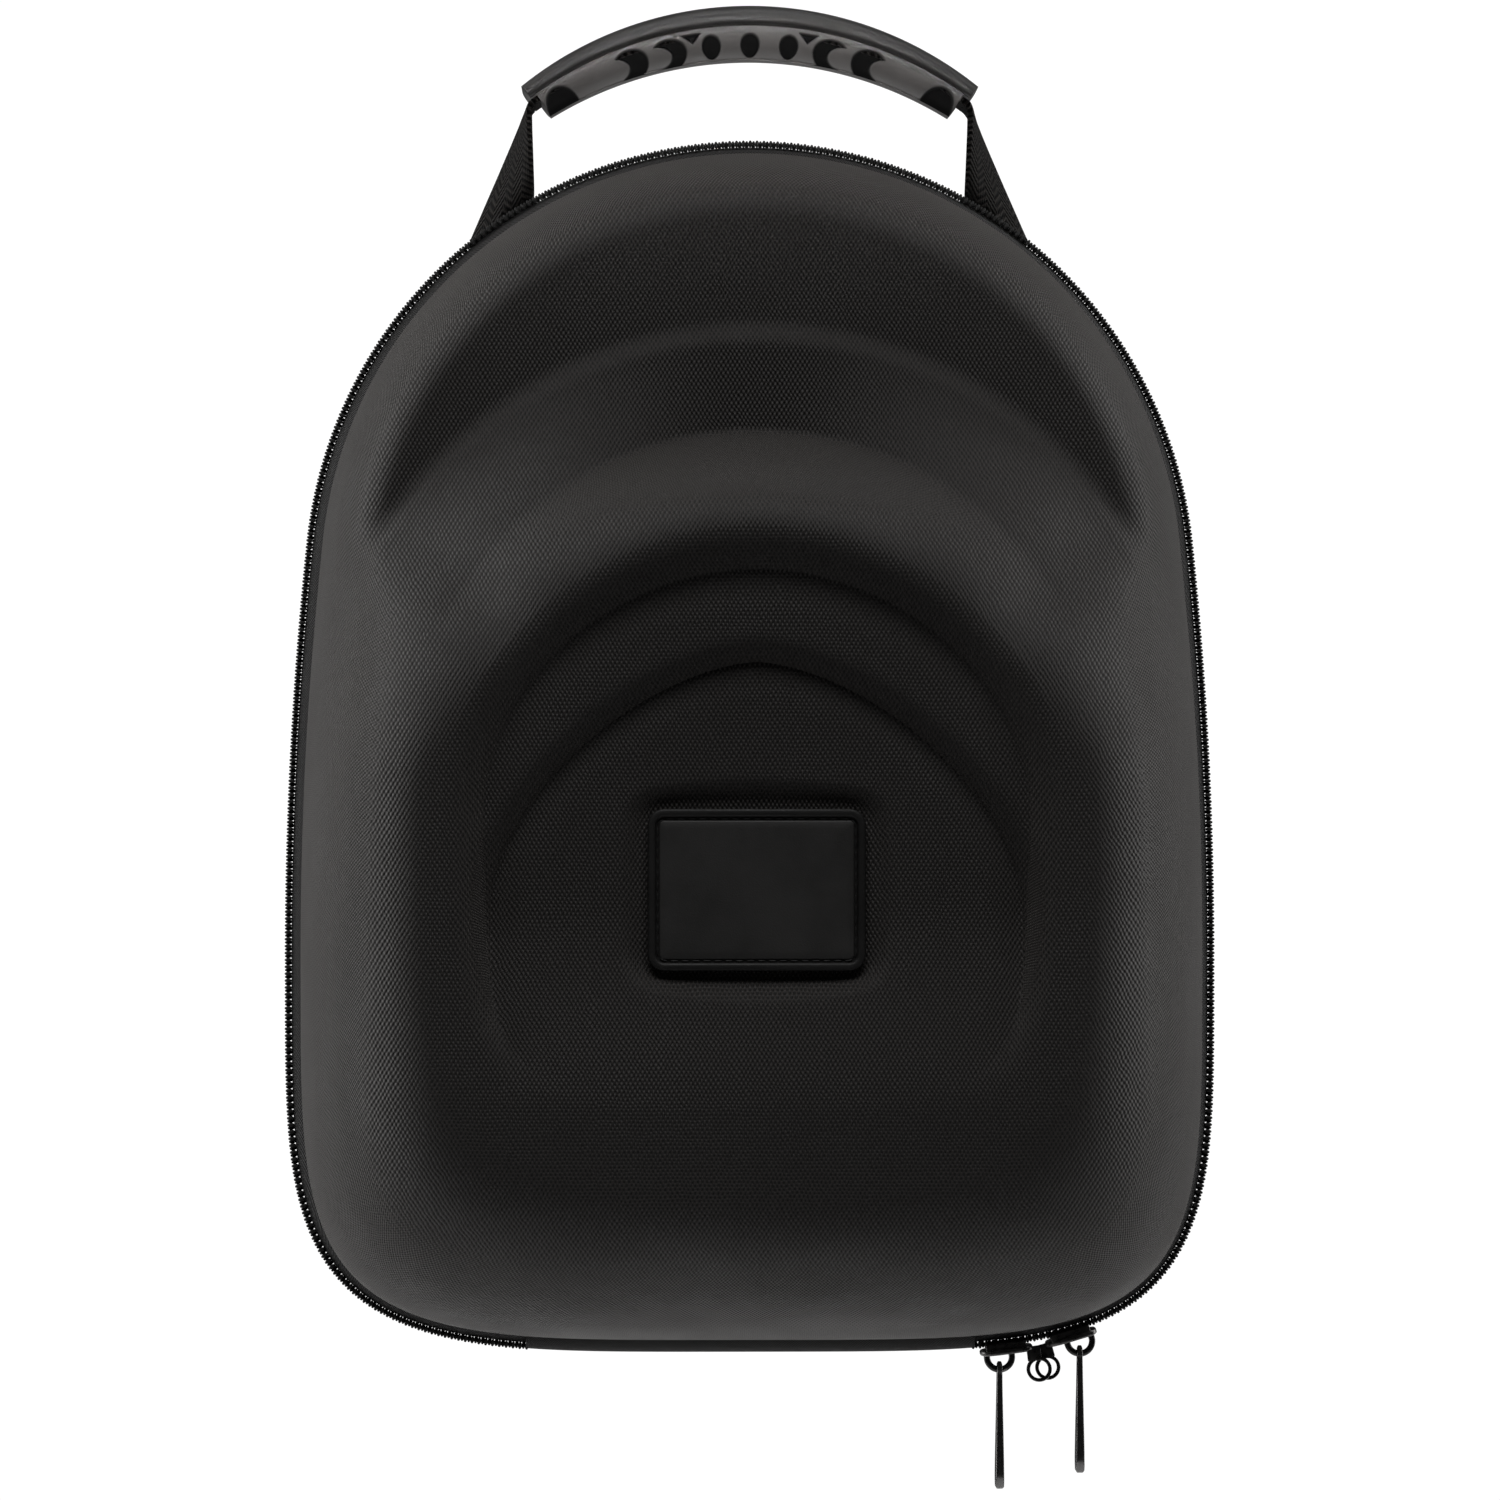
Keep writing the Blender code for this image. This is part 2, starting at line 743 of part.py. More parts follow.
def grip_rings(width, thickness, beyond):
    """Sections of a strap or channel along the grip's arc, running beyond its ends."""
    rings = []
    reach = grip_turn() + beyond / grip_radius()
    for step in range(GRIP_STEPS + 1):
        turn = reach * (2.0 * step / GRIP_STEPS - 1.0)
        middle, outward = grip_frame(turn)
        rings.append(rectangle_ring(middle, Vector((0.0, 1.0, 0.0)), outward, width, thickness))
    return rings


def make_strap(surface):
    """One length of webbing from root to root, passing through the grip."""
    right = right_leg()
    left = []
    for ring in reversed(right):
        mirrored = [Vector((-corner.x, corner.y, corner.z)) for corner in ring]
        left.append(mirrored)
    rings = left + grip_rings(STRAP_WIDTH, STRAP_THICKNESS, 0.0) + right
    add_object("handle_strap", loft_mesh("handle_strap", rings), surface)


def grip_mesh():
    """Grip body: a flange over a rounded body, swept along the arc."""
    rings = []
    for step in range(GRIP_STEPS + 1):
        turn = grip_turn() * (2.0 * step / GRIP_STEPS - 1.0)
        middle, outward = grip_frame(turn)
        thickness = grip_thickness(turn)
        half_ring = []
        for side, height in GRIP_SECTION:
            y = side * GRIP_WIDTH / 2
            half_ring.append((y, height * thickness - thickness / 2))
        mirrored = [(-y, rise) for y, rise in reversed(half_ring[1:-1])]
        rings.append([middle + Vector((0.0, y, 0.0)) + outward * rise
                      for y, rise in half_ring + mirrored])
    return loft_mesh("handle_grip", rings)


def dimple_mesh(name, sign):
    """Blind oval pockets along one side of the grip."""
    mesh = bpy.data.meshes.new(name)
    build = bmesh.new()
    side = GRIP_BODY_SHARE * GRIP_WIDTH / 2
    for place, height, wide, tall in GRIP_DIMPLES:
        turn = grip_turn() * place
        middle, outward = grip_frame(turn)
        thickness = grip_thickness(turn)
        centre = middle + outward * (height * thickness - thickness / 2)
        centre.y = sign * (side - GRIP_DIMPLE_DEPTH + GRIP_WIDTH / 2)
        turned = Matrix.Rotation(turn, 4, "Y") @ Matrix.Rotation(math.pi / 2, 4, "X")
        scale = Matrix.Diagonal((wide * GRIP_MIDDLE / 2, tall * GRIP_MIDDLE / 2, 1.0, 1.0))
        bmesh.ops.create_cone(build, cap_ends=True, segments=DIMPLE_SIDES, radius1=1.0, radius2=1.0,
                              depth=GRIP_WIDTH, matrix=Matrix.Translation(centre) @ turned @ scale)
    build.to_mesh(mesh)
    build.free()
    return mesh


def make_grip(surface):
    """Moulded grip with a channel for the strap and blind pockets on both sides."""
    grip = add_object("handle_grip", grip_mesh(), surface)
    channel = loft_mesh("grip_channel", grip_rings(STRAP_WIDTH + 2 * FIT,
                                                   STRAP_THICKNESS + 2 * FIT, STRAP_WIDTH / 4))
    add_boolean(grip, add_object("grip_channel", channel), "DIFFERENCE")
    for name, sign in (("dimples_front", -1.0), ("dimples_back", 1.0)):
        add_boolean(grip, add_object(name, dimple_mesh(name, sign)), "DIFFERENCE")


def slider_matrix(x):
    """Frame of a slider that rides on the coil: local -Z points out of the case."""
    point, normal = outline(travel_at_width(x))
    frame = Matrix.Identity(4)
    frame.col[0].xyz = (-normal.y, 0.0, normal.x)
    frame.col[2].xyz = (-normal.x, 0.0, -normal.y)
    frame.translation = (point.x, ZIP_Y, point.y)
    return frame


def box_mesh(name, low, high):
    """Closed box between two corners."""
    rings = []
    for z in (low[2], high[2]):
        rings.append([(low[0], low[1], z), (high[0], low[1], z),
                      (high[0], high[1], z), (low[0], high[1], z)])
    return loft_mesh(name, rings)


def plate_mesh(name):
    """Slider's outer plate, narrower at its nose."""
    half_length = SLIDER_LENGTH / 2
    half_width = SLIDER_WIDTH / 2
    # Columns: place over the half length, width over the half width
    plan = ((-1.0, 0.45), (-0.75, 0.85), (-0.3, 1.0), (0.6, 0.92), (0.9, 0.75), (1.0, 0.4))
    right = [(along * half_length, -across * half_width) for along, across in plan]
    left = [(x, -y) for x, y in reversed(right)]
    bevel = SLIDER_PLATE / 4
    # Columns: share of the plan's size, height
    levels = ((1.0, -FIT), (1.0, bevel - SLIDER_PLATE - FIT), (0.93, -SLIDER_PLATE - FIT))
    rings = []
    for share, z in levels:
        rings.append([(x * share, y * share, z) for x, y in right + left])
    return loft_mesh(name, rings)


def bridge_mesh(name, shift):
    """Half ring that carries the pull, with its legs in the slider's plate."""
    bar = BRIDGE_BAR / 2
    top = -FIT - SLIDER_PLATE / 2
    centre_z = -FIT - SLIDER_PLATE - BRIDGE_LIFT
    frames = [(-BRIDGE_RADIUS, top, 0.0)]
    for step in range(BRIDGE_STEPS + 1):
        angle = math.pi * step / BRIDGE_STEPS
        frames.append((-BRIDGE_RADIUS * math.cos(angle),
                       centre_z - BRIDGE_RADIUS * math.sin(angle), angle))
    frames.append((BRIDGE_RADIUS, top, math.pi))
    rings = []
    for x, z, angle in frames:
        ring = []
        for side in range(BAR_SIDES):
            turn = math.pi * (2 * side + 1) / BAR_SIDES
            radial = bar * math.cos(turn)
            ring.append((shift + x - radial * math.cos(angle), bar * math.sin(turn),
                         z - radial * math.sin(angle)))
        rings.append(ring)
    return loft_mesh(name, rings)


def lock_eye_mesh(name, hand):
    """Flat ring beside the slider's plate for a small padlock."""
    centre_x, centre_z = lock_eye_centre(hand)
    near = hand * -FIT
    far = near - hand * LOCK_THICKNESS
    # Columns: radius, y
    corners = (
        (LOCK_EYE / 2, near),
        (LOCK_EYE / 2, far),
        (LOCK_EYE / 2 - LOCK_WALL, far),
        (LOCK_EYE / 2 - LOCK_WALL, near),
    )
    mesh = bpy.data.meshes.new(name)
    build = bmesh.new()
    rows = []
    for side in range(EYE_SIDES):
        turn = math.pi * 2 * side / EYE_SIDES
        rows.append([build.verts.new((centre_x + radius * math.cos(turn), y,
                                      centre_z + radius * math.sin(turn)))
                     for radius, y in corners])
    for side, row in enumerate(rows):
        after = rows[(side + 1) % EYE_SIDES]
        for index in range(len(corners)):
            step = (index + 1) % len(corners)
            build.faces.new((row[index], row[step], after[step], after[index]))
    bmesh.ops.recalc_face_normals(build, faces=build.faces)
    build.to_mesh(mesh)
    build.free()
    return mesh


def lock_eye_centre(hand):
    """Place of the lock eye in the slider's frame."""
    x = hand * (SLIDER_LENGTH / 2 + LOCK_EYE * LOCK_CLEARANCE)
    return x, -FIT - SLIDER_PLATE - LOCK_EYE / 2


def lock_arm_mesh(name, hand):
    """Short web from the plate's end to the lock eye."""
    eye_x, _ = lock_eye_centre(hand)
    inner_x = hand * SLIDER_LENGTH * FLANGE_SHARE
    outer_x = eye_x + hand * LOCK_WALL
    near = hand * -FIT
    far = near - hand * LOCK_THICKNESS
    low = (min(inner_x, outer_x), min(near, far), -FIT - SLIDER_PLATE - LOCK_WALL)
    high = (max(inner_x, outer_x), max(near, far), -FIT - SLIDER_PLATE / 3)
    return box_mesh(name, low, high)


def slider_x(hand):
    """Place of a slider along the bottom; the two park nose to nose."""
    left = HINGE_LENGTH / 2 + SLIDER_PARK
    return left if hand > 0 else left + SLIDER_SPACING


def make_slider(name, hand, surface):
    """Zipper slider: plate, flanges, bridge and lock eye; hand is +1 with the eye toward +X."""
    frame = slider_matrix(slider_x(hand))
    slider = add_object(name, plate_mesh(name), surface)
    slider.matrix_world = frame
    inner = COIL_WIDTH / 2 + FIT
    outer = inner + SLIDER_FLANGE
    deep = COIL_THICKNESS * FLANGE_SINK
    flange_length = SLIDER_LENGTH * FLANGE_SHARE
    parts = []
    for side, sign in (("near", -1.0), ("far", 1.0)):
        low = (-flange_length, min(sign * inner, sign * outer), -FIT - SLIDER_PLATE / 2)
        high = (flange_length, max(sign * inner, sign * outer), deep)
        flange_name = name + "_flange_" + side
        parts.append((flange_name, box_mesh(flange_name, low, high)))
    parts.append((name + "_bridge", bridge_mesh(name + "_bridge", -hand * BRIDGE_SHIFT)))
    parts.append((name + "_arm", lock_arm_mesh(name + "_arm", hand)))
    parts.append((name + "_eye", lock_eye_mesh(name + "_eye", hand)))
    for part_name, mesh in parts:
        helper = add_object(part_name, mesh)
        helper.matrix_world = frame
        add_boolean(slider, helper, "UNION")
    return slider


def pull_pivot(hand):
    """Centre of a slider's half ring, which its pull swings round."""
    local = Vector((-hand * BRIDGE_SHIFT, 0.0, -FIT - SLIDER_PLATE - BRIDGE_LIFT))
    return slider_matrix(slider_x(hand)) @ local


def pull_half_width(below_top):
    """Half the width of a pull at a distance below its upper end."""
    eye = PULL_EYE / 2
    width = 0.0
    if below_top < PULL_EYE:
        width = math.sqrt(max(eye ** 2 - (below_top - eye) ** 2, 0.0))
    if below_top > eye:
        spread = ramp(below_top, PULL_EYE, PULL_LENGTH * PULL_SPREAD_SHARE)
        width = max(width, (PULL_WAIST + (PULL_WIDTH - PULL_WAIST) * spread) / 2)
    rounding = PULL_WIDTH / 2
    left = PULL_LENGTH - below_top
    if left < rounding:
        width *= math.sqrt(max(1.0 - (1.0 - left / rounding) ** 2, 0.0))
    return width


def pull_mesh(name):
    """Flat pull in the YZ plane, hanging from its own origin."""
    top = PULL_EYE / 2 - BRIDGE_RADIUS
    # Shares of the pull's length where its outline turns
    shares = (0.012, 0.035, 0.07, 0.10, 0.135, 0.25, 0.5, 0.75, 0.87, 0.94, 0.98, 0.997)
    rings = []
    for share in shares:
        below = share * PULL_LENGTH
        wide = pull_half_width(below)
        thick = (PULL_TOP_THICKNESS + (PULL_END_THICKNESS - PULL_TOP_THICKNESS) * share) / 2
        z = top - below
        rings.append([(thick, wide, z), (-thick, wide, z), (-thick, -wide, z), (thick, -wide, z)])
    return loft_mesh(name, rings)


def make_pull(name, hand, surface):
    """Pull with its eye round the slider's bridge."""
    pull = add_object(name, pull_mesh(name), surface)
    pull.location = pull_pivot(hand)
    hole = bpy.data.meshes.new(name + "_hole")
    build = bmesh.new()
    place = Matrix.Translation((0.0, 0.0, -BRIDGE_RADIUS)) @ Matrix.Rotation(math.pi / 2, 4, "Y")
    radius = BRIDGE_BAR / 2 + FIT
    bmesh.ops.create_cone(build, cap_ends=True, segments=HOLE_SIDES, radius1=radius, radius2=radius,
                          depth=PULL_EYE, matrix=place)
    build.to_mesh(hole)
    build.free()
    cutter = add_object(name + "_hole", hole)
    cutter.location = pull.location
    add_boolean(pull, cutter, "DIFFERENCE")


def main():
    clear_scene()
    make_front_shell(material("shell_cloth_front", (0.022, 0.020, 0.019), 0.85))
    make_back_shell(material("shell_cloth_back", (0.022, 0.020, 0.019), 0.85))
    make_tapes(material("tape_cloth_front", (0.018, 0.017, 0.017), 0.9),
               material("tape_cloth_back", (0.018, 0.017, 0.017), 0.9))
    make_coil(material("coil_nylon", (0.015, 0.015, 0.016), 0.5))
    make_hinge(material("hinge_cloth", (0.02, 0.019, 0.018), 0.9))
    make_patch(material("patch_rubber", (0.012, 0.012, 0.012), 0.6))
    make_strap(material("strap_webbing", (0.02, 0.019, 0.019), 0.8))
    make_grip(material("grip_rubber", (0.02, 0.019, 0.019), 0.55))
    make_slider("slider_left", 1.0, material("slider_left_metal", (0.06, 0.06, 0.065), 0.25, 1.0))
    make_slider("slider_right", -1.0, material("slider_right_metal", (0.06, 0.06, 0.065), 0.25, 1.0))
    make_pull("pull_left", 1.0, material("pull_left_metal", (0.05, 0.05, 0.055), 0.22, 1.0))
    make_pull("pull_right", -1.0, material("pull_right_metal", (0.05, 0.05, 0.055), 0.22, 1.0))


main()
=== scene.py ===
"""Looks of the moulded cap case: cloth shells, zipper band, rubber grip, webbing and metal pulls.

Metres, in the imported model's frame: +Z up, the front of the case faces -Y, and the origin is at the
middle of the grip's underside.
"""
import math

import bmesh
import bpy
import numpy as np
from mathutils import Matrix, Vector

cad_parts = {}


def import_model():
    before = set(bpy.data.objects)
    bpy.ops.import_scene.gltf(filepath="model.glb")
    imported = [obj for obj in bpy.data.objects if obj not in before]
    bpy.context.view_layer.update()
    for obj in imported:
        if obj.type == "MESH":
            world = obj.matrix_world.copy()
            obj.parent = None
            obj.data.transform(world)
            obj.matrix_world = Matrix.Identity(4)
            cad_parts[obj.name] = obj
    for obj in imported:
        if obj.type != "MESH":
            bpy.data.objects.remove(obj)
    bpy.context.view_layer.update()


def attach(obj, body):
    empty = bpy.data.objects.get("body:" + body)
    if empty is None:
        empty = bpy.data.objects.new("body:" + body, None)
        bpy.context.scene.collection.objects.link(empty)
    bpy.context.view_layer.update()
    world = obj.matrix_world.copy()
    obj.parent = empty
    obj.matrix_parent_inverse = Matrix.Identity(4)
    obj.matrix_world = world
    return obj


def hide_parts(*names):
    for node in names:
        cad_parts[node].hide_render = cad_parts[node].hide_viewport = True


# Fit between neighbouring pieces
FIT = 0.0004

# Case outline, seen from the front
CASE_WIDTH = 0.2378
CASE_HEIGHT = 0.310
FINGER_GAP = 0.0215
WIDEST_SHARE = 0.671
TOP_RADIUS_SHARE = 0.959
SHOULDER_HEADING = math.radians(84.0)
CORNER_POWER = 4.35

# Shell walls and the band between their rims
WALL = 0.004
RIM_INSET = 0.005
RIM_REACH = 0.013
LIP_RADIUS = 0.0011

# Front shell: depths are forward of the zipper's plane
BRIM_DEPTH = 0.078
BRIM_EDGE = 0.020
CROWN_DEPTH = 0.122
CROWN_SLOPE = 0.035
BELLY_DROP = 0.2335
BELLY_CURVE = 3.0
CROWN_RADIUS = 0.1085
CROWN_CENTRE_DROP = 0.162
CROWN_WALL = 0.050
ARC_WIDTH = 0.006
ARC_STEP = 0.0025
LEDGE_WIDTH = 0.024
CONE_SHARE = 0.80
CONE_START = math.radians(88.0)
CONE_END = math.radians(38.0)
CLIMB_START = 1.3
CLIMB_END = 2.2
EDGE_SHARE = 0.95
SHOULDER_SHARE = 0.45
SHOULDER_END = math.radians(35.0)
MERGE_START = math.radians(36.0)
MERGE_END = math.radians(22.0)

# Sunk terraces on the crown's face
TERRACE_WIDTH = 0.1308
TERRACE_TOP_DROP = 0.1125
TERRACE_SPRING_DROP = 0.1705
TERRACE_FOOT_DROP = 0.2505
TERRACE_POWER = 1.9
TERRACE_WALL = 0.0100
INNER_WIDTH = 0.1280
INNER_TOP_DROP = 0.1347
INNER_SPRING_DROP = 0.1925
INNER_FOOT_DROP = 0.2400
INNER_POWER = 1.62
INNER_WALL = 0.0070
FOOT_POWER = 4.0
FADE_DROP = 0.243
TERRACE_STEP = 0.0072
INNER_STEP = 0.0056
STEP_POWER = 1.9
STEP_LIFT = 0.22

# Patch and its pocket
PATCH_WIDTH = 0.0525
PATCH_HEIGHT = 0.0390
PATCH_DROP = 0.1894
PATCH_THICKNESS = 0.0018
PATCH_CORNER = 0.0040
PATCH_RIM = 0.0022
PATCH_RIM_HEIGHT = 0.0006
PATCH_GROOVE = 0.00035
POCKET_DEPTH = 0.0020
POCKET_MARGIN = 0.0012
POCKET_SLOPE = 0.0068
POCKET_POWER = 7.0
STITCH_PITCH = 0.0026
STITCH_LENGTH = 0.0019
STITCH_RADIUS = 0.00022

# Back shell: depth is behind the zipper's plane
BACK_DEPTH = 0.050
BACK_EDGE = 0.024

# Zipper band
TAPE_THICKNESS = 0.001
TAPE_TUCK = 0.004
TUCK_FIT = 0.0009
COIL_WIDTH = 0.0064
COIL_THICKNESS = 0.0019
TOOTH_PITCH = 0.00176
TOOTH_WIDTH = 0.00094
TOOTH_OVERLAP = 0.0007
HINGE_SHARE = 0.466
HINGE_THICKNESS = 0.0016
HINGE_SINK = 0.0
HINGE_LAP = 0.003
HINGE_OVER = 0.002

# Handle
STRAP_WIDTH = 0.020
STRAP_THICKNESS = 0.002
STRAP_SPAN = 0.1274
STRAP_BEND = 0.003
STRAP_LEAN = 0.12
GRIP_SPAN = 0.1112
GRIP_RISE = 0.0181
GRIP_WIDTH = 0.031
GRIP_MIDDLE = 0.0133
GRIP_END = 0.0100
GRIP_BODY_SHARE = 0.82
GRIP_BODY_REACH = 0.968
GRIP_ROUND = 2.3
GRIP_BODY_TOP = 0.60
GRIP_KEEL = 0.30
POCKET_CUT = 0.0032
POCKET_SOFT = 0.0004
NOTCH_CUT = 0.0040
NOTCH_SOFT = 0.0006
NOTCH_INSET = 0.0045

# Zipper sliders and pulls
SLIDER_LENGTH = 0.0136
SLIDER_WIDTH = 0.0112
SLIDER_PLATE = 0.00155
SLIDER_FLANGE = 0.0013
FLANGE_SHARE = 0.38
FLANGE_SINK = 0.6
FLANGE_BEVEL = 0.00035
SLIDER_SPACING = 0.0164
SLIDER_PARK = 0.0100
BRIDGE_RADIUS = 0.0032
BRIDGE_BAR = 0.00165
BRIDGE_LIFT = 0.0008
BRIDGE_SHIFT = 0.0019
LOCK_EYE = 0.0065
LOCK_WALL = 0.00095
LOCK_THICKNESS = 0.0012
LOCK_CLEARANCE = 0.15
LOCK_DROP = 0.0018
LUG_BEVEL = 0.0002
PULL_LENGTH = 0.0327
PULL_WIDTH = 0.0086
PULL_WAIST = 0.0040
PULL_EYE = 0.0043
PULL_SPREAD_SHARE = 0.85
PULL_TOP_THICKNESS = 0.0013
PULL_END_THICKNESS = 0.0022
PULL_EDGE = 0.00035
PULL_TAPER = 0.0007

# Weaves: periods of the thread patterns
CLOTH_ACROSS = 0.0011
CLOTH_ALONG = 0.0018
TWILL_PERIOD = 0.0009
RIB_PERIOD = 0.0019
THREAD_PERIOD = 0.0007
HINGE_PERIOD = 0.0007
HERRING_WIDTH = 0.0066

# Camera and stage
VIEW_HEIGHT = -0.1773
CAMERA_DISTANCE = 1.80
CAMERA_SIDE = -0.027
FRAME_WIDTH = 0.3837
FLOOR_DROP = 1.1
FLOOR_RADIUS = 1.2
FLOOR_THICKNESS = 0.02
WORLD_SEEN = 1.05
WORLD_LIGHT = 0.02

# Lights, aimed at the middle of the view; columns: name, place, size, watts
LIGHTS = (
    ("key_light", (0.0, -1.15, 1.5), (1.4, 0.8), 16.0),
    ("upper_left_light", (-1.05, 0.0, 0.60), (0.8, 0.8), 4.2),
    ("upper_right_light", (1.05, 0.0, 0.60), (0.8, 0.8), 3.2),
    ("left_light", (-1.25, 0.55, -0.1), (0.6, 1.4), 7.8),
    ("right_light", (1.25, 0.55, -0.1), (0.6, 1.4), 5.9),
    ("low_light", (0.0, 1.1, -0.8), (1.4, 0.5), 2.7),
)
# Narrow light on the grip
GRIP_LIGHT = ("grip_light", (0.0, -0.9, -0.13), (0.30, 0.06), 0.115)
GRIP_LIGHT_AIM = 0.060
GRIP_LIGHT_SPREAD = 14.0

# Spacing of rows: over 1 gathers them at the first end, under 1 at the last
HIDDEN_SPACING = 1.8
RIM_SPACING = 2.1
WALL_SPACING = 0.6

# Mesh density
OUTLINE_SAMPLES = 400
SIDE_STATIONS = 132
HINGE_STATIONS = 22
RIM_ROWS = 62
FOOT_ROWS = 12
CROWN_ROWS = 56
WALL_ROWS = 12
FLAT_ROWS = 9
BACK_ROWS = 26
HIDDEN_ROWS = 12
LIP_ROWS = 4
STRAP_SIDES = 24
STRAP_ROWS = 60
BEND_ROWS = 9
GRIP_COLUMNS = 520
GRIP_ROWS = 44
PULL_ROWS = 90
STITCH_ROWS = 6
THREAD_SIDES = 8
TOOTH_SIDES = 8
BAR_SIDES = 20
BRIDGE_ROWS = 32
EYE_ROWS = 48
EYE_SIDES = 12
HOLE_SIDES = 40
FLOOR_SIDES = 96

# Places worked out from the sizes above
CASE_TOP = -FINGER_GAP
HINGE_LENGTH = HINGE_SHARE * CASE_WIDTH
ZIP_Y = -(RIM_REACH - FIT - STRAP_THICKNESS / 2)
TAPE_ROOT = RIM_INSET + WALL + TUCK_FIT + TAPE_THICKNESS / 2
TAPE_MEET = COIL_THICKNESS * 0.9 + TAPE_THICKNESS / 2
HINGE_ROOT = RIM_INSET + WALL + TUCK_FIT + HINGE_THICKNESS / 2
CROWN_CENTRE = CASE_TOP - CROWN_CENTRE_DROP
PATCH_Z = CASE_TOP - PATCH_DROP

# Columns: way out from the root line to the coil, reach from the zipper's plane over the rim's reach
TAPE_BENDS = (
    (0.00, 0.88),
    (0.41, 0.62),
    (0.84, 0.33),
)

# Columns: way out from the root line to the gusset's crest, reach over the rim's reach
HINGE_BENDS = (
    (0.00, 0.86),
    (0.50, 0.62),
    (0.88, 0.38),
)

# Ovals cut in the grip's side; columns: height above its underside, width, tallness
DIMPLE = (0.0033, 0.0048, 0.0053)
SCALE = (0.0030, 0.0090, 0.0068)
TONGUE = (0.0026, 0.0090, 0.0054)
NOTCH = (0.0, 0.0088, 0.0100)
# Places of the dimples along the grip's arc, from its apex
DIMPLE_PLACES = (0.0, 0.0103)
# Places of the scales and of the tongues that they lack
SCALE_PLACES = (
    (0.0215, 0.0254),
    (0.0320, 0.0371),
)
# Triangle that points down: place, height of its top, tallness, width
TRIANGLE = (0.0151, 0.0067, 0.0022, 0.0045)

# Columns: half width over the grip's half width, height over the grip's thickness
GRIP_SECTION = (
    (0.00, 1.00),
    (0.62, 1.00),
    (0.86, 0.965),
    (0.97, 0.90),
    (1.00, 0.83),
    (1.00, 0.69),
    (0.98, 0.645),
    (0.90, 0.625),
    (GRIP_BODY_SHARE, GRIP_BODY_TOP),
)


def ramp(value, start, end):
    """Rise smoothly from 0 at start to 1 at end."""
    share = min(max((value - start) / (end - start), 0.0), 1.0)
    return share * share * (3.0 - 2.0 * share)


def round_over(share):
    """Rise from 0 to 1 along a quarter circle."""
    share = min(max(share, 0.0), 1.0)
    return math.sqrt(1.0 - (1.0 - share) ** 2)


def step_down(share):
    """Fall from 1 at a crease to 0 outside it, steep at first; inside, the floor lifts a little."""
    lift = STEP_LIFT * ramp(-share, 0.0, 1.0)
    return (1.0 - min(max(share, 0.0), 1.0)) ** STEP_POWER - lift


def round_turns(count, shift=0.0):
    """Turns all the way round in equal steps, shifted by a share of a step."""
    return [2 * math.pi * (step + shift) / count for step in range(count)]


def signed_power(value, power):
    """Power of a number's size, with the number's sign."""
    return math.copysign(abs(value) ** power, value)


def power_radius(angle, half_width, half_height, power):
    """Distance from the middle to a superellipse at an angle from the X axis."""
    across = abs(math.cos(angle) / half_width) ** power
    along = abs(math.sin(angle) / half_height) ** power
    return (across + along) ** (-1.0 / power)


def upper_outline(heading):
    """Point and normal on the outline from the top to its widest line."""
    half = CASE_WIDTH / 2
    top_radius = half * TOP_RADIUS_SHARE
    sine = math.sin(SHOULDER_HEADING)
    cosine = math.cos(SHOULDER_HEADING)
    side_radius = (half - top_radius * sine) / (1.0 - sine)
    stretch = CASE_HEIGHT * WIDEST_SHARE / (top_radius * (1.0 - cosine) + side_radius * cosine)
    first = min(heading, SHOULDER_HEADING)
    second = max(heading, SHOULDER_HEADING)
    x = top_radius * math.sin(first) + side_radius * (math.sin(second) - sine)
    drop = top_radius * (1.0 - math.cos(first)) + side_radius * (cosine - math.cos(second))
    normal = Vector((math.sin(heading) * stretch, math.cos(heading))).normalized()
    return Vector((x, CASE_TOP - drop * stretch)), normal


def lower_outline(angle):
    """Point and normal on the outline from its widest line to the bottom."""
    half = CASE_WIDTH / 2
    upper = CASE_HEIGHT * WIDEST_SHARE
    lower = CASE_HEIGHT - upper
    reach = power_radius(angle, half, lower, CORNER_POWER)
    x = reach * max(math.cos(angle), 0.0)
    drop = reach * math.sin(angle)
    normal = Vector(((x / half) ** (CORNER_POWER - 1.0) / half,
                     -(drop / lower) ** (CORNER_POWER - 1.0) / lower)).normalized()
    return Vector((x, CASE_TOP - upper - drop)), normal


def outline(travel):
    """Point and normal on the right half: 0 is the top, 0.5 the widest line and 1 the bottom."""
    if travel <= 0.5:
        return upper_outline(math.pi * travel)
    return lower_outline(math.pi * (travel - 0.5))


def travel_at_width(x):
    """Travel of the outline's lower point that lies x to the right of the middle."""
    half = CASE_WIDTH / 2
    lower = CASE_HEIGHT * (1.0 - WIDEST_SHARE)
    drop = lower * (1.0 - (x / half) ** CORNER_POWER) ** (1.0 / CORNER_POWER)
    return 0.5 + math.atan2(drop, x) / math.pi


def spread_travel(start, end, count):
    """Travels from start to end, spaced by length and by turn in equal parts."""
    fine = np.linspace(start, end, OUTLINE_SAMPLES)
    samples = [outline(travel) for travel in fine]
    lengths = [0.0]
    turns = [0.0]
    for (near, near_normal), (far, far_normal) in zip(samples, samples[1:]):
        lengths.append(lengths[-1] + (far - near).length)
        turns.append(turns[-1] + near_normal.angle(far_normal, 0.0))
    effort = np.array(lengths) / lengths[-1] + np.array(turns) / turns[-1]
    return list(np.interp(np.linspace(0.0, effort[-1], count + 1), effort, fine))


def mirrored(stations):
    """The same stations on the left half."""
    return [(Vector((-point.x, point.y)), Vector((-normal.x, normal.y)))
            for point, normal in stations]


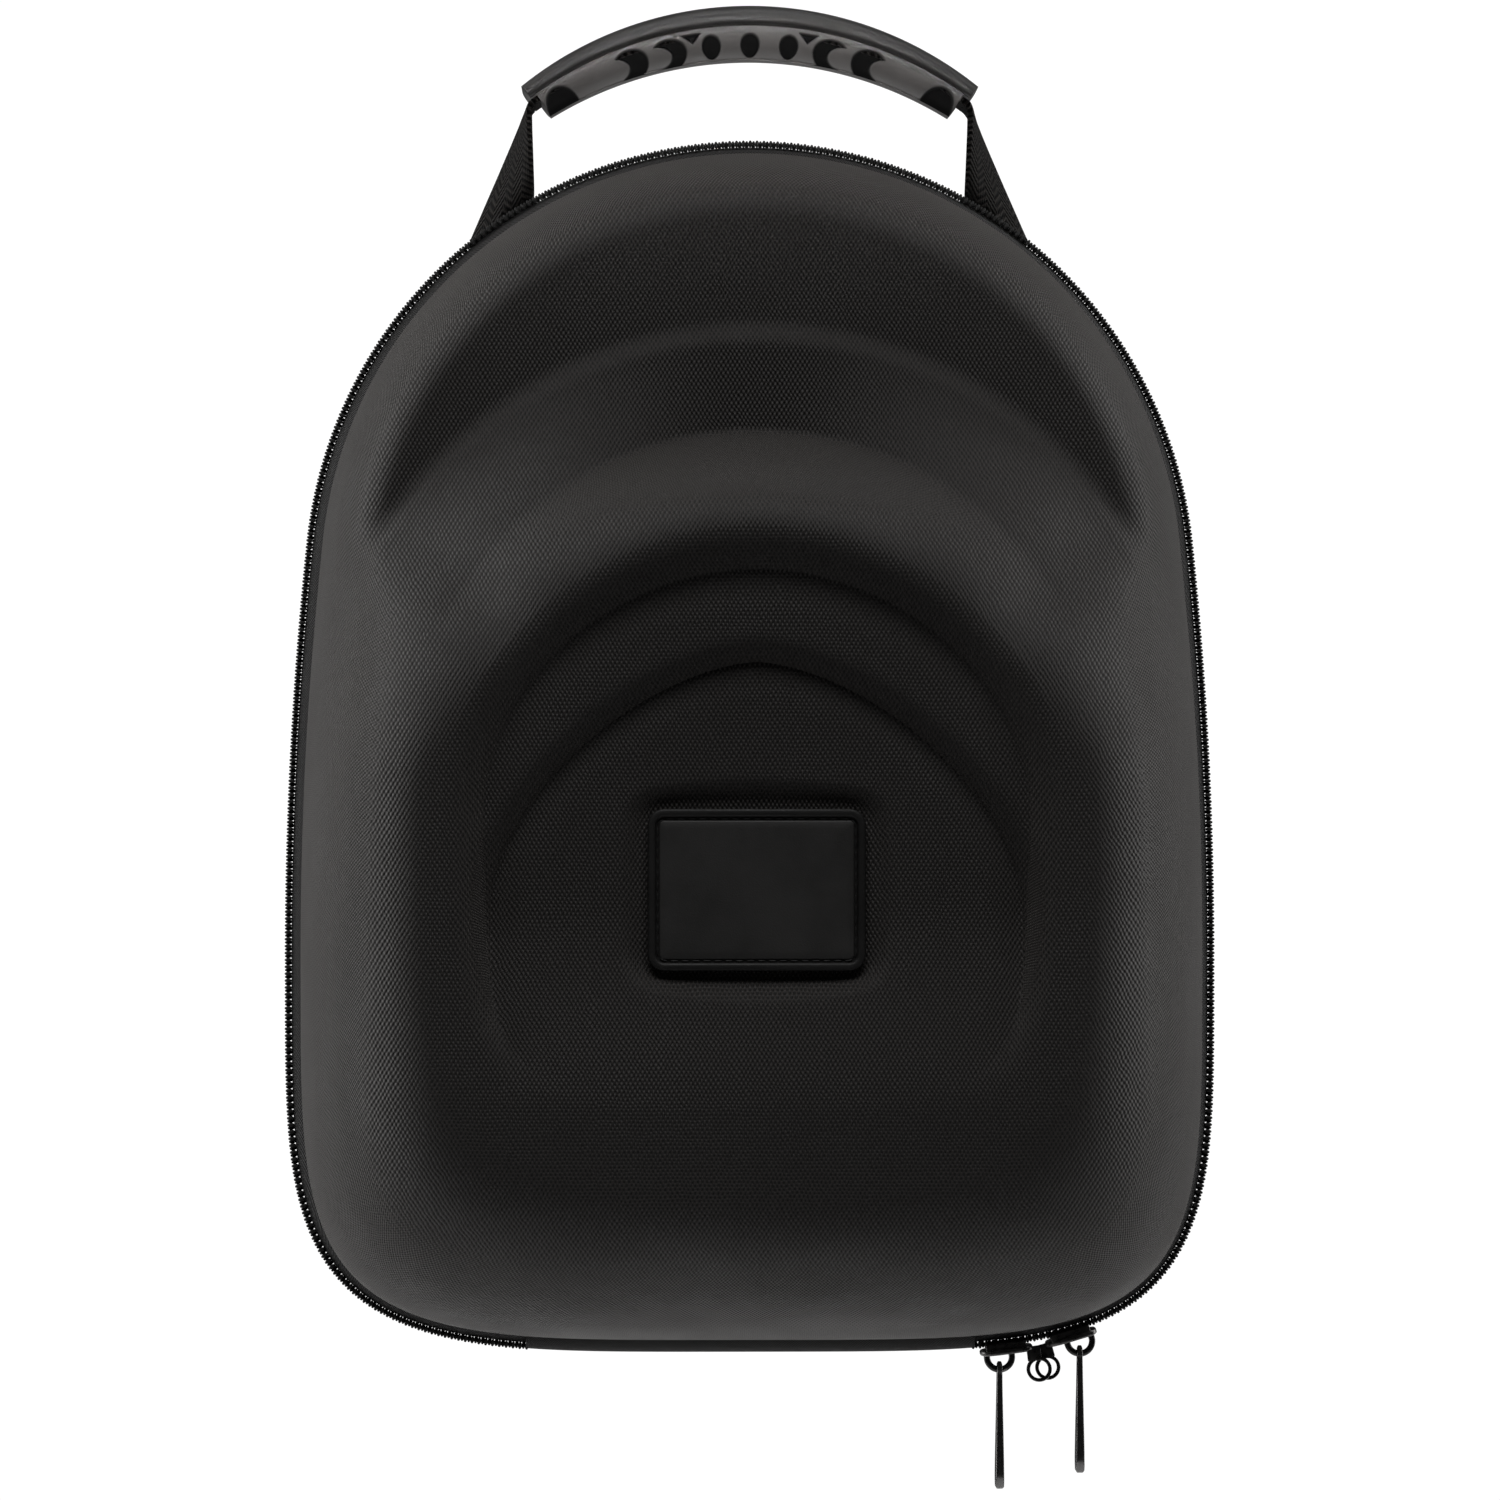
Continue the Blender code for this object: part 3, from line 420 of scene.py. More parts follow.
def loop_stations():
    """Points and normals round the whole outline, from the top down the right side."""
    hinge_travel = travel_at_width(HINGE_LENGTH / 2)
    travels = spread_travel(0.0, hinge_travel, SIDE_STATIONS)
    travels += spread_travel(hinge_travel, 1.0, HINGE_STATIONS)[1:]
    right = [outline(travel) for travel in travels]
    return right + mirrored(right[-2:0:-1])


def zipper_stations(count, lap=0.0):
    """Points and normals over the top, from one end of the gusset to the other, or lapped by it."""
    travels = spread_travel(0.0, travel_at_width(HINGE_LENGTH / 2 + FIT - lap), count)
    right = [outline(travel) for travel in travels]
    return mirrored(right[:0:-1]) + right


def upright(flat):
    """Vector in the XZ plane from one of the outline's."""
    return Vector((flat.x, 0.0, flat.y))


def run_lengths(places):
    """Length along a line of points up to each of them."""
    steps = [0.0]
    for near, far in zip(places, places[1:]):
        steps.append(steps[-1] + (far - near).length)
    return steps


def from_centre(centre_z, toward):
    """Distance and angle from a point on the middle line, the angle from the X axis."""
    rise = toward.y - centre_z
    return math.hypot(toward.x, rise), math.atan2(rise, toward.x)


def terrace_radius(angle, width, top_drop, spring_drop, foot_drop, power):
    """Reach of a terrace's edge from its spring point."""
    if angle > 0.0:
        return power_radius(angle, width / 2, spring_drop - top_drop, power)
    return power_radius(angle, width / 2, foot_drop - spring_drop, FOOT_POWER)


def terrace_offset(place, inner):
    """Signed distance of a place outside a terrace's crease, along a ray from its spring point."""
    if inner:
        sizes = (INNER_WIDTH, INNER_TOP_DROP, INNER_SPRING_DROP, INNER_FOOT_DROP, INNER_POWER)
    else:
        sizes = (TERRACE_WIDTH, TERRACE_TOP_DROP, TERRACE_SPRING_DROP, TERRACE_FOOT_DROP,
                 TERRACE_POWER)
    reach, angle = from_centre(CASE_TOP - sizes[2], place)
    return reach - terrace_radius(angle, *sizes)


def pocket_offset(place):
    """Signed distance of a place outside the flat floor of the patch's pocket."""
    reach, angle = from_centre(PATCH_Z, place)
    floor = power_radius(angle, PATCH_WIDTH / 2 + POCKET_MARGIN,
                         PATCH_HEIGHT / 2 + POCKET_MARGIN, POCKET_POWER)
    return reach - floor


def crown_depth(z):
    """Depth of the crown's face before the terraces, highest at the top."""
    crest = CASE_TOP - TERRACE_TOP_DROP
    below = max(CASE_TOP - BELLY_DROP - z, 0.0)
    return CROWN_DEPTH - CROWN_SLOPE * max(crest - z, 0.0) - BELLY_CURVE * below * below


def face_depth(place):
    """Depth of the crown's face with its terraces and the pocket."""
    spring = CASE_TOP - INNER_SPRING_DROP
    fade = ramp(place.y, CASE_TOP - FADE_DROP, spring)
    drop = TERRACE_STEP * step_down(terrace_offset(place, False) / TERRACE_WALL)
    drop += INNER_STEP * step_down(terrace_offset(place, True) / INNER_WALL)
    depth = crown_depth(place.y) - drop * fade
    sunk = ramp(pocket_offset(place), POCKET_SLOPE, 0.0)
    return depth + (pocket_floor_depth() - depth) * sunk


def pocket_floor_depth():
    """Depth of the flat floor that the patch lies on."""
    steps = (TERRACE_STEP + INNER_STEP) * (1.0 - STEP_LIFT)
    return crown_depth(PATCH_Z) - steps - POCKET_DEPTH


def climb(share):
    """Rise from 0 to 1 with an even slope between a soft start and a soft end."""
    share = min(max(share, 0.0), 1.0)
    return 1.0 - (1.0 - share ** CLIMB_START) ** CLIMB_END


def shoulder_rise(inland, angle):
    """Rise from the arc's ledge, 0, to the crown's face, 1: a step at the top, a cone at the sides."""
    step = climb((inland - LEDGE_WIDTH) / (CROWN_WALL - LEDGE_WIDTH))
    cone = climb(inland / CROWN_WALL)
    return step + (cone - step) * CONE_SHARE * ramp(angle, CONE_START, CONE_END)


def shell_depth(place, run, full_run):
    """Depth of the front shell at a run inwards from its rim."""
    reach, angle = from_centre(CROWN_CENTRE, Vector((abs(place.x), place.y)))
    inland = CROWN_RADIUS - reach
    plate = BRIM_DEPTH + ARC_STEP * ramp(inland, -ARC_WIDTH / 2, ARC_WIDTH / 2)
    ledge = RIM_REACH + (plate - RIM_REACH) * round_over(run / BRIM_EDGE)
    face = face_depth(place)
    stepped = ledge + (face - ledge) * shoulder_rise(inland, angle)
    edge = full_run * (EDGE_SHARE + SHOULDER_SHARE * ramp(angle, 0.0, SHOULDER_END))
    crown = RIM_REACH + (face - RIM_REACH) * round_over(run / edge) / round_over(full_run / edge)
    return stepped + (min(crown, face) - stepped) * ramp(angle, MERGE_START, MERGE_END)


def ray_point(centre_z, toward, reach):
    """Point at a reach from the middle line, in the direction of another point."""
    direction = Vector((toward.x, toward.y - centre_z)).normalized()
    return Vector((0.0, centre_z)) + direction * reach


def terrace_point(toward, outside):
    """Point a distance outside the outer terrace's crease, on the ray to the rim."""
    spring = CASE_TOP - TERRACE_SPRING_DROP
    reach, _ = from_centre(spring, toward)
    return ray_point(spring, toward, reach - terrace_offset(toward, False) + outside)


def pocket_point(toward, outside):
    """Point a distance outside the pocket's floor, on the ray to the rim."""
    reach, _ = from_centre(PATCH_Z, toward)
    return ray_point(PATCH_Z, toward, reach - pocket_offset(toward) + outside)


def crossing_share(near, far, outside):
    """Share of the way from near to far where a place stops being outside."""
    low = 0.0
    high = 1.0
    for _ in range(20):
        middle = (low + high) / 2
        if outside(near.lerp(far, middle)):
            low = middle
        else:
            high = middle
    return high


def share_at_offset(near, far, offset):
    """Share of the way from near to far where the inner terrace's offset falls to a value."""
    return crossing_share(near, far, lambda place: terrace_offset(place, True) > offset)


def foot_run(rim, crest):
    """Run from the rim to the crown's foot, kept inside the ray."""
    share = crossing_share(rim, crest, lambda place: from_centre(CROWN_CENTRE, place)[0] > CROWN_RADIUS)
    full = (crest - rim).length
    margin = ARC_WIDTH * 1.5
    return min(max(share * full, margin), full - margin)


def skin(name, rings, maps=None, caps=True):
    """Mesh through rows of points; a map has a value for each point, and one more where rows close."""
    rings = np.asarray(rings, float)
    rows, columns = rings.shape[:2]
    row, column = np.meshgrid(np.arange(rows - 1), np.arange(columns), indexing="ij")
    corners = ((row, column), (row, column + 1), (row + 1, column + 1), (row + 1, column))
    quads = np.stack([r * columns + c % columns for r, c in corners], axis=-1).reshape(-1, 4)
    faces = quads.tolist()
    if caps:
        faces.append(list(range(columns))[::-1])
        faces.append(list(range((rows - 1) * columns, rows * columns)))
    mesh = bpy.data.meshes.new(name)
    mesh.from_pydata(rings.reshape(-1, 3).tolist(), [], faces)
    for layer, values in (maps or {}).items():
        values = np.asarray(values, float)
        data = np.stack([values[r, c] for r, c in corners], axis=-2).reshape(-1, 2)
        if caps:
            data = np.concatenate([data, values[0, :columns][::-1], values[-1, :columns]])
        mesh.uv_layers.new(name=layer).data.foreach_set("uv", data.ravel())
    return mesh


def edited(mesh, change):
    """The mesh after a change to its editable copy."""
    build = bmesh.new()
    build.from_mesh(mesh)
    change(build)
    build.to_mesh(mesh)
    build.free()
    return mesh


def fix_normals(mesh):
    """Turn every face of a mesh outwards."""
    edited(mesh, lambda build: bmesh.ops.recalc_face_normals(build, faces=build.faces))


def add_object(name, data):
    """Object with its data, in the scene."""
    thing = bpy.data.objects.new(name, data)
    bpy.context.scene.collection.objects.link(thing)
    return thing


def add_piece(name, mesh, surface, nodes, body="root", sharp=40.0):
    """Smooth piece that rides on a body; edges over an angle in degrees stay sharp."""
    fix_normals(mesh)
    piece = add_object(name, mesh)
    mesh.materials.append(surface)
    mesh.shade_smooth()
    mesh.set_sharp_from_angle(angle=math.radians(sharp))
    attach(piece, body)
    for node in nodes:
        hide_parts(node)


def joined(name, meshes):
    """One mesh of several, each with its place applied."""

    def fill(build):
        for mesh, frame in meshes:
            mesh.transform(frame)
            build.from_mesh(mesh)

    return edited(bpy.data.meshes.new(name), fill)


def weave_map(along, around):
    """Map of a band's cloth from the lengths along it and round its section."""
    return {"weave": np.stack(np.meshgrid(along, around, indexing="ij"), axis=-1)}


def set_point_value(mesh, name, values):
    """Give a mesh one number for each of its vertices."""
    layer = mesh.attributes.new(name, "FLOAT", "POINT")
    layer.data.foreach_set("value", np.asarray(values, float).ravel())


class Surface:
    """A node material with short ways to add and link nodes."""

    def __init__(self, name, roughness, metallic=0.0):
        self.material = bpy.data.materials.new(name)
        self.material.use_nodes = True
        self.tree = self.material.node_tree
        self.shader = self.tree.nodes["Principled BSDF"]
        self.shader.inputs["Roughness"].default_value = roughness
        self.shader.inputs["Metallic"].default_value = metallic

    def set(self, **values):
        for name, value in values.items():
            self.shader.inputs[name.replace("_", " ")].default_value = value

    def put(self, socket, value):
        if isinstance(value, bpy.types.NodeSocket):
            self.tree.links.new(value, socket)
        else:
            socket.default_value = value

    def node(self, kind, **inputs):
        made = self.tree.nodes.new(kind)
        for name, value in inputs.items():
            self.put(made.inputs[name.replace("_", " ")], value)
        return made

    def math(self, operation, *values):
        made = self.tree.nodes.new("ShaderNodeMath")
        made.operation = operation
        for socket, value in zip(made.inputs, values):
            self.put(socket, value)
        return made.outputs[0]

    def times(self, first, second):
        return self.math("MULTIPLY", first, second)

    def wave(self, kind, place, period):
        return self.math(kind, self.times(place, 2 * math.pi / period))

    def uv(self, layer):
        made = self.tree.nodes.new("ShaderNodeUVMap")
        made.uv_map = layer
        split = self.node("ShaderNodeSeparateXYZ", Vector=made.outputs[0])
        return split.outputs[0], split.outputs[1]

    def place(self):
        return self.tree.nodes.new("ShaderNodeTexCoord").outputs["Object"]

    def point_value(self, name):
        made = self.tree.nodes.new("ShaderNodeAttribute")
        made.attribute_name = name
        return made.outputs["Fac"]

    def noise(self, scale, detail=2.0, roughness=0.5):
        made = self.node("ShaderNodeTexNoise", Vector=self.place(), Scale=scale, Detail=detail,
                         Roughness=roughness)
        return made.outputs["Fac"]

    def spread(self, value, low, high, start=0.0, end=1.0):
        made = self.tree.nodes.new("ShaderNodeMapRange")
        made.interpolation_type = "SMOOTHSTEP"
        for socket, number in zip(made.inputs, (value, low, high, start, end)):
            self.put(socket, number)
        return made.outputs[0]

    def blend(self, share, first, second):
        made = self.tree.nodes.new("ShaderNodeMix")
        self.put(made.inputs[0], share)
        self.put(made.inputs[2], first)
        self.put(made.inputs[3], second)
        return made.outputs[0]

    def colour(self, share, dark, light):
        made = self.tree.nodes.new("ShaderNodeMix")
        made.data_type = "RGBA"
        self.put(made.inputs[0], share)
        for socket, paint in zip(made.inputs[6:8], (dark, light)):
            self.put(socket, (*paint, 1.0) if isinstance(paint, tuple) else paint)
        return made.outputs[2]

    def bump(self, height, distance):
        made = self.node("ShaderNodeBump", Height=height, Distance=distance)
        self.tree.links.new(made.outputs[0], self.shader.inputs["Normal"])

    def paint(self, colour):
        self.put(self.shader.inputs["Base Color"], colour)

    def rough(self, value):
        self.put(self.shader.inputs["Roughness"], value)


def weave_height(surface, layer, wobble):
    """Staggered bumps of the shells' plain weave over a UV layer, from -1 to 1."""
    u, v = surface.uv(layer)
    u = surface.math("ADD", u, surface.times(wobble, CLOTH_ACROSS))
    v = surface.math("ADD", v, surface.times(wobble, CLOTH_ALONG * 0.5))
    return surface.times(surface.wave("COSINE", u, CLOTH_ACROSS), surface.wave("COSINE", v, CLOTH_ALONG))


def shell_cloth():
    """Black woven cloth, lighter at grazing angles, with small dark gaps between its threads."""
    surface = Surface("shell_cloth", 0.62)
    wobble = surface.math("SUBTRACT", surface.noise(210.0, 3.0), 0.5)
    weave = surface.blend(surface.point_value("side_share"), weave_height(surface, "face", wobble),
                          weave_height(surface, "side", wobble))
    gaps = surface.spread(weave, -0.20, 0.50)
    fibre = surface.noise(5200.0, 2.0)
    cloudy = surface.noise(28.0, 4.0, 0.6)
    thread = surface.colour(fibre, (0.0225, 0.0199, 0.0186), (0.045, 0.0392, 0.0364))
    thread = surface.colour(surface.spread(cloudy, 0.35, 0.7), thread, (0.0325, 0.0282, 0.0262))
    surface.paint(surface.colour(gaps, thread, (0.0026, 0.0024, 0.0023)))
    surface.rough(surface.spread(cloudy, 0.3, 0.7, 0.58, 0.68))
    height = surface.math("ADD", surface.times(weave, -0.5), surface.times(fibre, 0.18))
    surface.bump(height, 0.00036)
    surface.set(Sheen_Weight=0.20, Sheen_Roughness=0.42, Sheen_Tint=(1.0, 0.95, 0.9, 1.0),
                Specular_IOR_Level=0.45)
    return surface.material


def twill_cloth(name, light, dark, period):
    """Close diagonal twill over the layer named weave."""
    surface = Surface(name, 0.85)
    u, v = surface.uv("weave")
    wobble = surface.times(surface.math("SUBTRACT", surface.noise(260.0), 0.5), 0.0004)
    slant = surface.math("ADD", surface.math("ADD", u, v), wobble)
    threads = surface.wave("SINE", u, period / 2)
    height = surface.math("ADD", surface.wave("SINE", slant, period), surface.times(threads, 0.35))
    surface.paint(surface.colour(surface.spread(height, -0.9, 0.9), dark, light))
    surface.bump(height, 0.00008)
    surface.set(Sheen_Weight=0.3, Sheen_Roughness=0.4, Specular_IOR_Level=0.3)
    return surface.material


def webbing_cloth():
    """Herringbone webbing: chevron ribs across the strap."""
    surface = Surface("webbing_cloth", 0.8)
    u, v = surface.uv("weave")
    slant = surface.math("ADD", u, surface.math("PINGPONG", v, HERRING_WIDTH / 2))
    threads = surface.wave("SINE", v, THREAD_PERIOD)
    height = surface.math("ADD", surface.wave("SINE", slant, RIB_PERIOD), surface.times(threads, 0.3))
    share = surface.spread(height, -1.0, 0.9)
    surface.paint(surface.colour(share, (0.0008, 0.0007, 0.0007), (0.034, 0.0305, 0.0285)))
    surface.bump(height, 0.00034)
    surface.set(Sheen_Weight=0.04, Sheen_Roughness=0.4, Specular_IOR_Level=0.12)
    return surface.material


def rubber(name, grain, roughness, smooth, dull):
    """Moulded rubber: its surface, its handling marks from 0 to 1, and its roughness."""
    surface = Surface(name, roughness)
    surface.bump(surface.noise(grain, 3.0, 0.6), 0.00006)
    surface.set(Specular_IOR_Level=0.45)
    marks = surface.noise(60.0, 5.0, 0.65)
    return surface, surface.spread(marks, 0.3, 0.7), surface.spread(marks, 0.25, 0.75, smooth, dull)


def grip_rubber():
    """Satin rubber of the grip, with painted light that makes its body paler and painted shade that
    makes its pockets black.
    """
    surface, marks, satin = rubber("grip_rubber", 3200.0, 0.48, 0.42, 0.56)
    flange = surface.colour(marks, (0.034, 0.0326, 0.032), (0.046, 0.044, 0.043))
    # Painted light: the body is painted far paler than the flange, as if lit from below.
    body = surface.colour(marks, (0.150, 0.142, 0.138), (0.185, 0.175, 0.170))
    cut = surface.point_value("cut_painted_shade")
    paint = surface.colour(surface.point_value("body_painted_light"), flange, body)
    # Painted shade: black down in the pockets, where they are cut.
    surface.paint(surface.colour(cut, paint, (0.0016, 0.0015, 0.0015)))
    surface.rough(surface.blend(cut, satin, 0.95))
    return surface.material


def patch_rubber():
    """Soft rubber of the badge, darker on its rim than on its bare field."""
    surface, marks, satin = rubber("patch_rubber", 2600.0, 0.55, 0.47, 0.63)
    field = surface.colour(marks, (0.027, 0.0262, 0.0255), (0.034, 0.0328, 0.032))
    surface.paint(surface.colour(surface.point_value("field_share"), (0.0085, 0.008, 0.0078), field))
    surface.rough(satin)
    return surface.material


def plastic(name, colour, roughness):
    """Nylon of the zipper's teeth."""
    surface = Surface(name, roughness)
    marks = surface.noise(900.0, 3.0)
    bright = tuple(value * 1.6 for value in colour)
    surface.paint(surface.colour(surface.spread(marks, 0.3, 0.7), colour, bright))
    surface.rough(surface.spread(marks, 0.3, 0.7, roughness - 0.08, roughness + 0.1))
    surface.bump(marks, 0.00003)
    return surface.material


def metal(name, colour, roughness):
    """Black nickel plating, paler where its edges are rubbed."""
    surface = Surface(name, roughness, 1.0)
    edges = surface.tree.nodes.new("ShaderNodeNewGeometry").outputs["Pointiness"]
    marks = surface.noise(700.0, 4.0, 0.6)
    worn = surface.times(surface.spread(edges, 0.52, 0.60), surface.spread(marks, 0.3, 0.6))
    surface.paint(surface.colour(worn, colour, (0.22, 0.215, 0.21)))
    surface.rough(surface.spread(marks, 0.3, 0.7, roughness - 0.05, roughness + 0.08))
    surface.bump(marks, 0.00002)
    return surface.material


def shell_rows(columns, sign):
    """Points of a shell from columns of (place, depth), in rows from first to last."""
    rows = []
    for level in zip(*columns):
        rows.append([(place.x, ZIP_Y + sign * depth, place.y) for place, depth in level])
    return np.array(rows)


def shell_maps(rows, stations):
    """Flat XZ map of the face, and a map of the side by length round the rim and down the wall."""
    round_rim = run_lengths([point for point, _ in stations] + [stations[0][0]])
    total = round_rim[-1]
    fitted = round(total / CLOTH_ACROSS) * CLOTH_ACROSS / total
    closed = np.concatenate([rows, rows[:, :1]], axis=1)
    steps = np.linalg.norm(np.diff(closed, axis=0), axis=2)
    down = np.concatenate([np.zeros((1, steps.shape[1])), np.cumsum(steps, axis=0)])
    around = np.broadcast_to(np.array(round_rim) * fitted, down.shape)
    face = np.stack([closed[:, :, 0], closed[:, :, 2]], axis=-1)
    side = np.stack([around, down], axis=-1)
    return {"face": face, "side": side}


def side_shares(rows):
    """How far each point belongs to the side's map: 1 on steep walls, 0 on the face."""
    flat = np.linalg.norm(np.gradient(rows[:, :, (0, 2)], axis=0), axis=2)
    rise = np.abs(np.gradient(rows[:, :, 1], axis=0))
    steep = np.arctan2(rise, flat)
    share = np.clip((steep - math.radians(48.0)) / math.radians(16.0), 0.0, 1.0)
    return share * share * (3.0 - 2.0 * share)


def lip_column(rim, normal):
    """Places and depths round the rim's rolled lip, from inside to outside."""
    column = [
        (rim - normal * WALL, RIM_REACH + LIP_RADIUS),
        (rim - normal * (WALL - LIP_RADIUS), RIM_REACH),
    ]
    for step in range(LIP_ROWS + 1):
        turn = math.pi / 2 * step / LIP_ROWS
        inset = LIP_RADIUS * (1.0 - math.sin(turn))
        column.append((rim - normal * inset, RIM_REACH + LIP_RADIUS * (1.0 - math.cos(turn))))
    return column


def front_column(point, normal):
    """Places and depths from the shell's hidden middle, round its lip, to the pocket's floor."""
    rim = point - normal * RIM_INSET
    crest = terrace_point(rim, TERRACE_WALL)
    crease = terrace_point(rim, 0.0)
    crown_crest = pocket_point(rim, POCKET_SLOPE)
    floor = pocket_point(rim, 0.0)
    full_run = (crest - rim).length
    foot = foot_run(rim, crest)

    hidden = []
    for place in (floor, crown_crest, crease):
        hidden.append((place, face_depth(place) - WALL))
    hidden.append((crest, shell_depth(crest, full_run, full_run) - WALL))
    for step in range(HIDDEN_ROWS, 0, -1):
        run = WALL + (full_run - WALL) * (step / (HIDDEN_ROWS + 1)) ** HIDDEN_SPACING
        place = rim.lerp(crest, run / full_run)
        hidden.append((place, shell_depth(place, run, full_run) - WALL))
    start = rim.lerp(crest, WALL / full_run)
    hidden.append((start, shell_depth(start, WALL, full_run) - WALL))

    runs = [(foot - ARC_WIDTH) * ((step + 1) / RIM_ROWS) ** RIM_SPACING for step in range(RIM_ROWS)]
    runs += list(np.linspace(foot - ARC_WIDTH, foot + ARC_WIDTH, FOOT_ROWS + 1))[1:]
    runs += list(np.linspace(runs[-1], full_run, CROWN_ROWS + 1))[1:]
    outside = []
    for run in runs:
        place = rim.lerp(crest, run / full_run)
        depth = max(shell_depth(place, run, full_run), RIM_REACH + LIP_RADIUS)
        outside.append((place, depth))

    inner_share = max(share_at_offset(crease, crown_crest, 0.0), 0.1)
    wall_share = max(share_at_offset(crease, crown_crest, INNER_WALL), inner_share * 0.4)
    for start, end, count, power in (
        (crest, crease, WALL_ROWS, WALL_SPACING),
        (crease, crease.lerp(crown_crest, wall_share), FLAT_ROWS, 1.0),
        (crease.lerp(crown_crest, wall_share), crease.lerp(crown_crest, inner_share), WALL_ROWS,
         WALL_SPACING),
        (crease.lerp(crown_crest, inner_share), crown_crest, FLAT_ROWS, 1.0),
        (crown_crest, floor, FLAT_ROWS, 1.0),
    ):
        for step in range(count):
            place = start.lerp(end, ((step + 1) / count) ** power)
            run = full_run + (place - crest).length
            outside.append((place, shell_depth(place, run, full_run)))
    return hidden + lip_column(rim, normal) + outside


def back_column(point, normal):
    """Places and depths of the back shell, from its hidden middle round the lip to its flat back."""
    rim = point - normal * RIM_INSET
    middle = Vector((0.0, PATCH_Z))
    quarter = []
    for step in range(BACK_ROWS + 1):
        turn = math.pi / 2 * step / BACK_ROWS
        depth = RIM_REACH + (BACK_DEPTH - RIM_REACH) * math.sin(turn)
        quarter.append((rim - normal * BACK_EDGE * (1.0 - math.cos(turn)), depth))
    edge = quarter[-1][0]
    hidden = []
    for share in (0.8, 0.4, 0.0):
        hidden.append((edge.lerp(middle, share), BACK_DEPTH - WALL))
    for place, depth in quarter[-2:0:-3]:
        hidden.append((place - normal * WALL, min(depth, BACK_DEPTH - WALL)))
    panel = [(edge.lerp(middle, share), BACK_DEPTH) for share in (0.1, 0.25, 0.5, 0.8)]
    outside = [(place, max(depth, RIM_REACH + LIP_RADIUS)) for place, depth in quarter[1:]]
    return hidden + lip_column(rim, normal) + outside + panel


def make_shell(name, column, sign, surface):
    """One shell from its columns round the rim; sign is -1 for the front and +1 for the back."""
    stations = loop_stations()
    rows = shell_rows([column(point, normal) for point, normal in stations], sign)
    mesh = skin(name + "_cloth", rows, shell_maps(rows, stations))
    set_point_value(mesh, "side_share", side_shares(rows))
    add_piece(name + "_cloth", mesh, surface, [name], sharp=60.0)


def softened(line, rounds=2):
    """Cut the corners of a line of points, keeping its ends."""
    points = [Vector(point) for point in line]
    for _ in range(rounds):
        cut = [points[0]]
        for near, far in zip(points, points[1:]):
            cut += [near.lerp(far, 0.25), near.lerp(far, 0.75)]
        points = cut + [points[-1]]
    return points


def ribbon_loop(line, thickness):
    """Closed loop round a line of (sink, reach) points, half the thickness to each side."""
    sides = []
    for index, point in enumerate(line):
        before = line[max(index - 1, 0)]
        after = line[min(index + 1, len(line) - 1)]
        along = (after - before).normalized()
        sides.append((point, Vector((-along.y, along.x)) * thickness / 2))
    return [point + side for point, side in sides] + [point - side for point, side in reversed(sides)]


def band_mesh(name, stations, section):
    """Sweep a closed section of (sink, reach) points along outline stations."""
    rows = []
    for point, normal in stations:
        ring = []
        for sink, reach in section:
            place = point - normal * sink
            ring.append((place.x, ZIP_Y + reach, place.y))
        rows.append(ring)
    along = run_lengths([point for point, _ in stations])
    around = run_lengths([Vector(corner) for corner in list(section) + [section[0]]])
    return skin(name, rows, weave_map(along, around))


def bend_line(root, crest, bends):
    """Line of (sink, reach) points from the tucked root to the last bend."""
    line = [(root, RIM_REACH + TAPE_TUCK)]
    for way, reach in bends:
        line.append((root + (crest - root) * way, reach * RIM_REACH))
    return line


def make_tapes(surface):
    """Two cloth bands that come out of the shells and meet under the coil."""
    line = softened(bend_line(TAPE_ROOT, TAPE_MEET, TAPE_BENDS) + [(TAPE_MEET, FIT / 2)])
    back = ribbon_loop(line, TAPE_THICKNESS)
    front = [Vector((place.x, -place.y)) for place in reversed(back)]
    stations = zipper_stations(SIDE_STATIONS, HINGE_LAP)
    for name, section in (("zipper_tape_front", front), ("zipper_tape_back", back)):
        add_piece(name + "_cloth", band_mesh(name + "_cloth", stations, section), surface,
                  [name])


def make_hinge(surface):
    """Cloth band along the bottom, from inside one shell to inside the other."""
    travels = spread_travel(travel_at_width(HINGE_LENGTH / 2 + HINGE_OVER), 1.0, HINGE_STATIONS * 2)
    right = [outline(travel) for travel in travels]
    stations = right + mirrored(right[-2::-1])
    crest = HINGE_SINK + HINGE_THICKNESS / 2
    half_line = bend_line(HINGE_ROOT, crest, HINGE_BENDS)
    other_half = [(sink, -reach) for sink, reach in reversed(half_line)]
    line = softened(half_line + [(crest, 0.0)] + other_half)
    mesh = band_mesh("hinge_gusset_cloth", stations, ribbon_loop(line, HINGE_THICKNESS))
    add_piece("hinge_gusset_cloth", mesh, surface, ["hinge_gusset"])


def tooth_rings():
    """One zipper tooth: (along, across, sink) rings from its tape end to its head."""
    half = COIL_WIDTH / 2
    # Columns: place across, width over the tooth's width, lowest and highest sink over the thickness
    steps = (
        (-half, 0.45, 0.62, 0.95),
        (-half * 0.97, 0.85, 0.30, 1.00),
        (-half * 0.86, 1.00, 0.10, 1.00),
        (-half * 0.60, 1.00, 0.02, 0.98),
        (-half * 0.10, 0.90, 0.00, 0.95),
        (TOOTH_OVERLAP * 0.6, 0.92, 0.04, 0.90),
        (TOOTH_OVERLAP, 0.50, 0.30, 0.70),
    )
    rings = []
    for across, wide, low, high in steps:
        middle = COIL_THICKNESS * (low + high) / 2
        tall = COIL_THICKNESS * (high - low) / 2
        ring = []
        for turn in round_turns(TOOTH_SIDES, 0.5):
            ring.append((TOOTH_WIDTH * wide / 2 * math.cos(turn) * 1.08, across,
                         middle + tall * math.sin(turn) * 1.08))
        rings.append(ring)
    return np.array(rings)


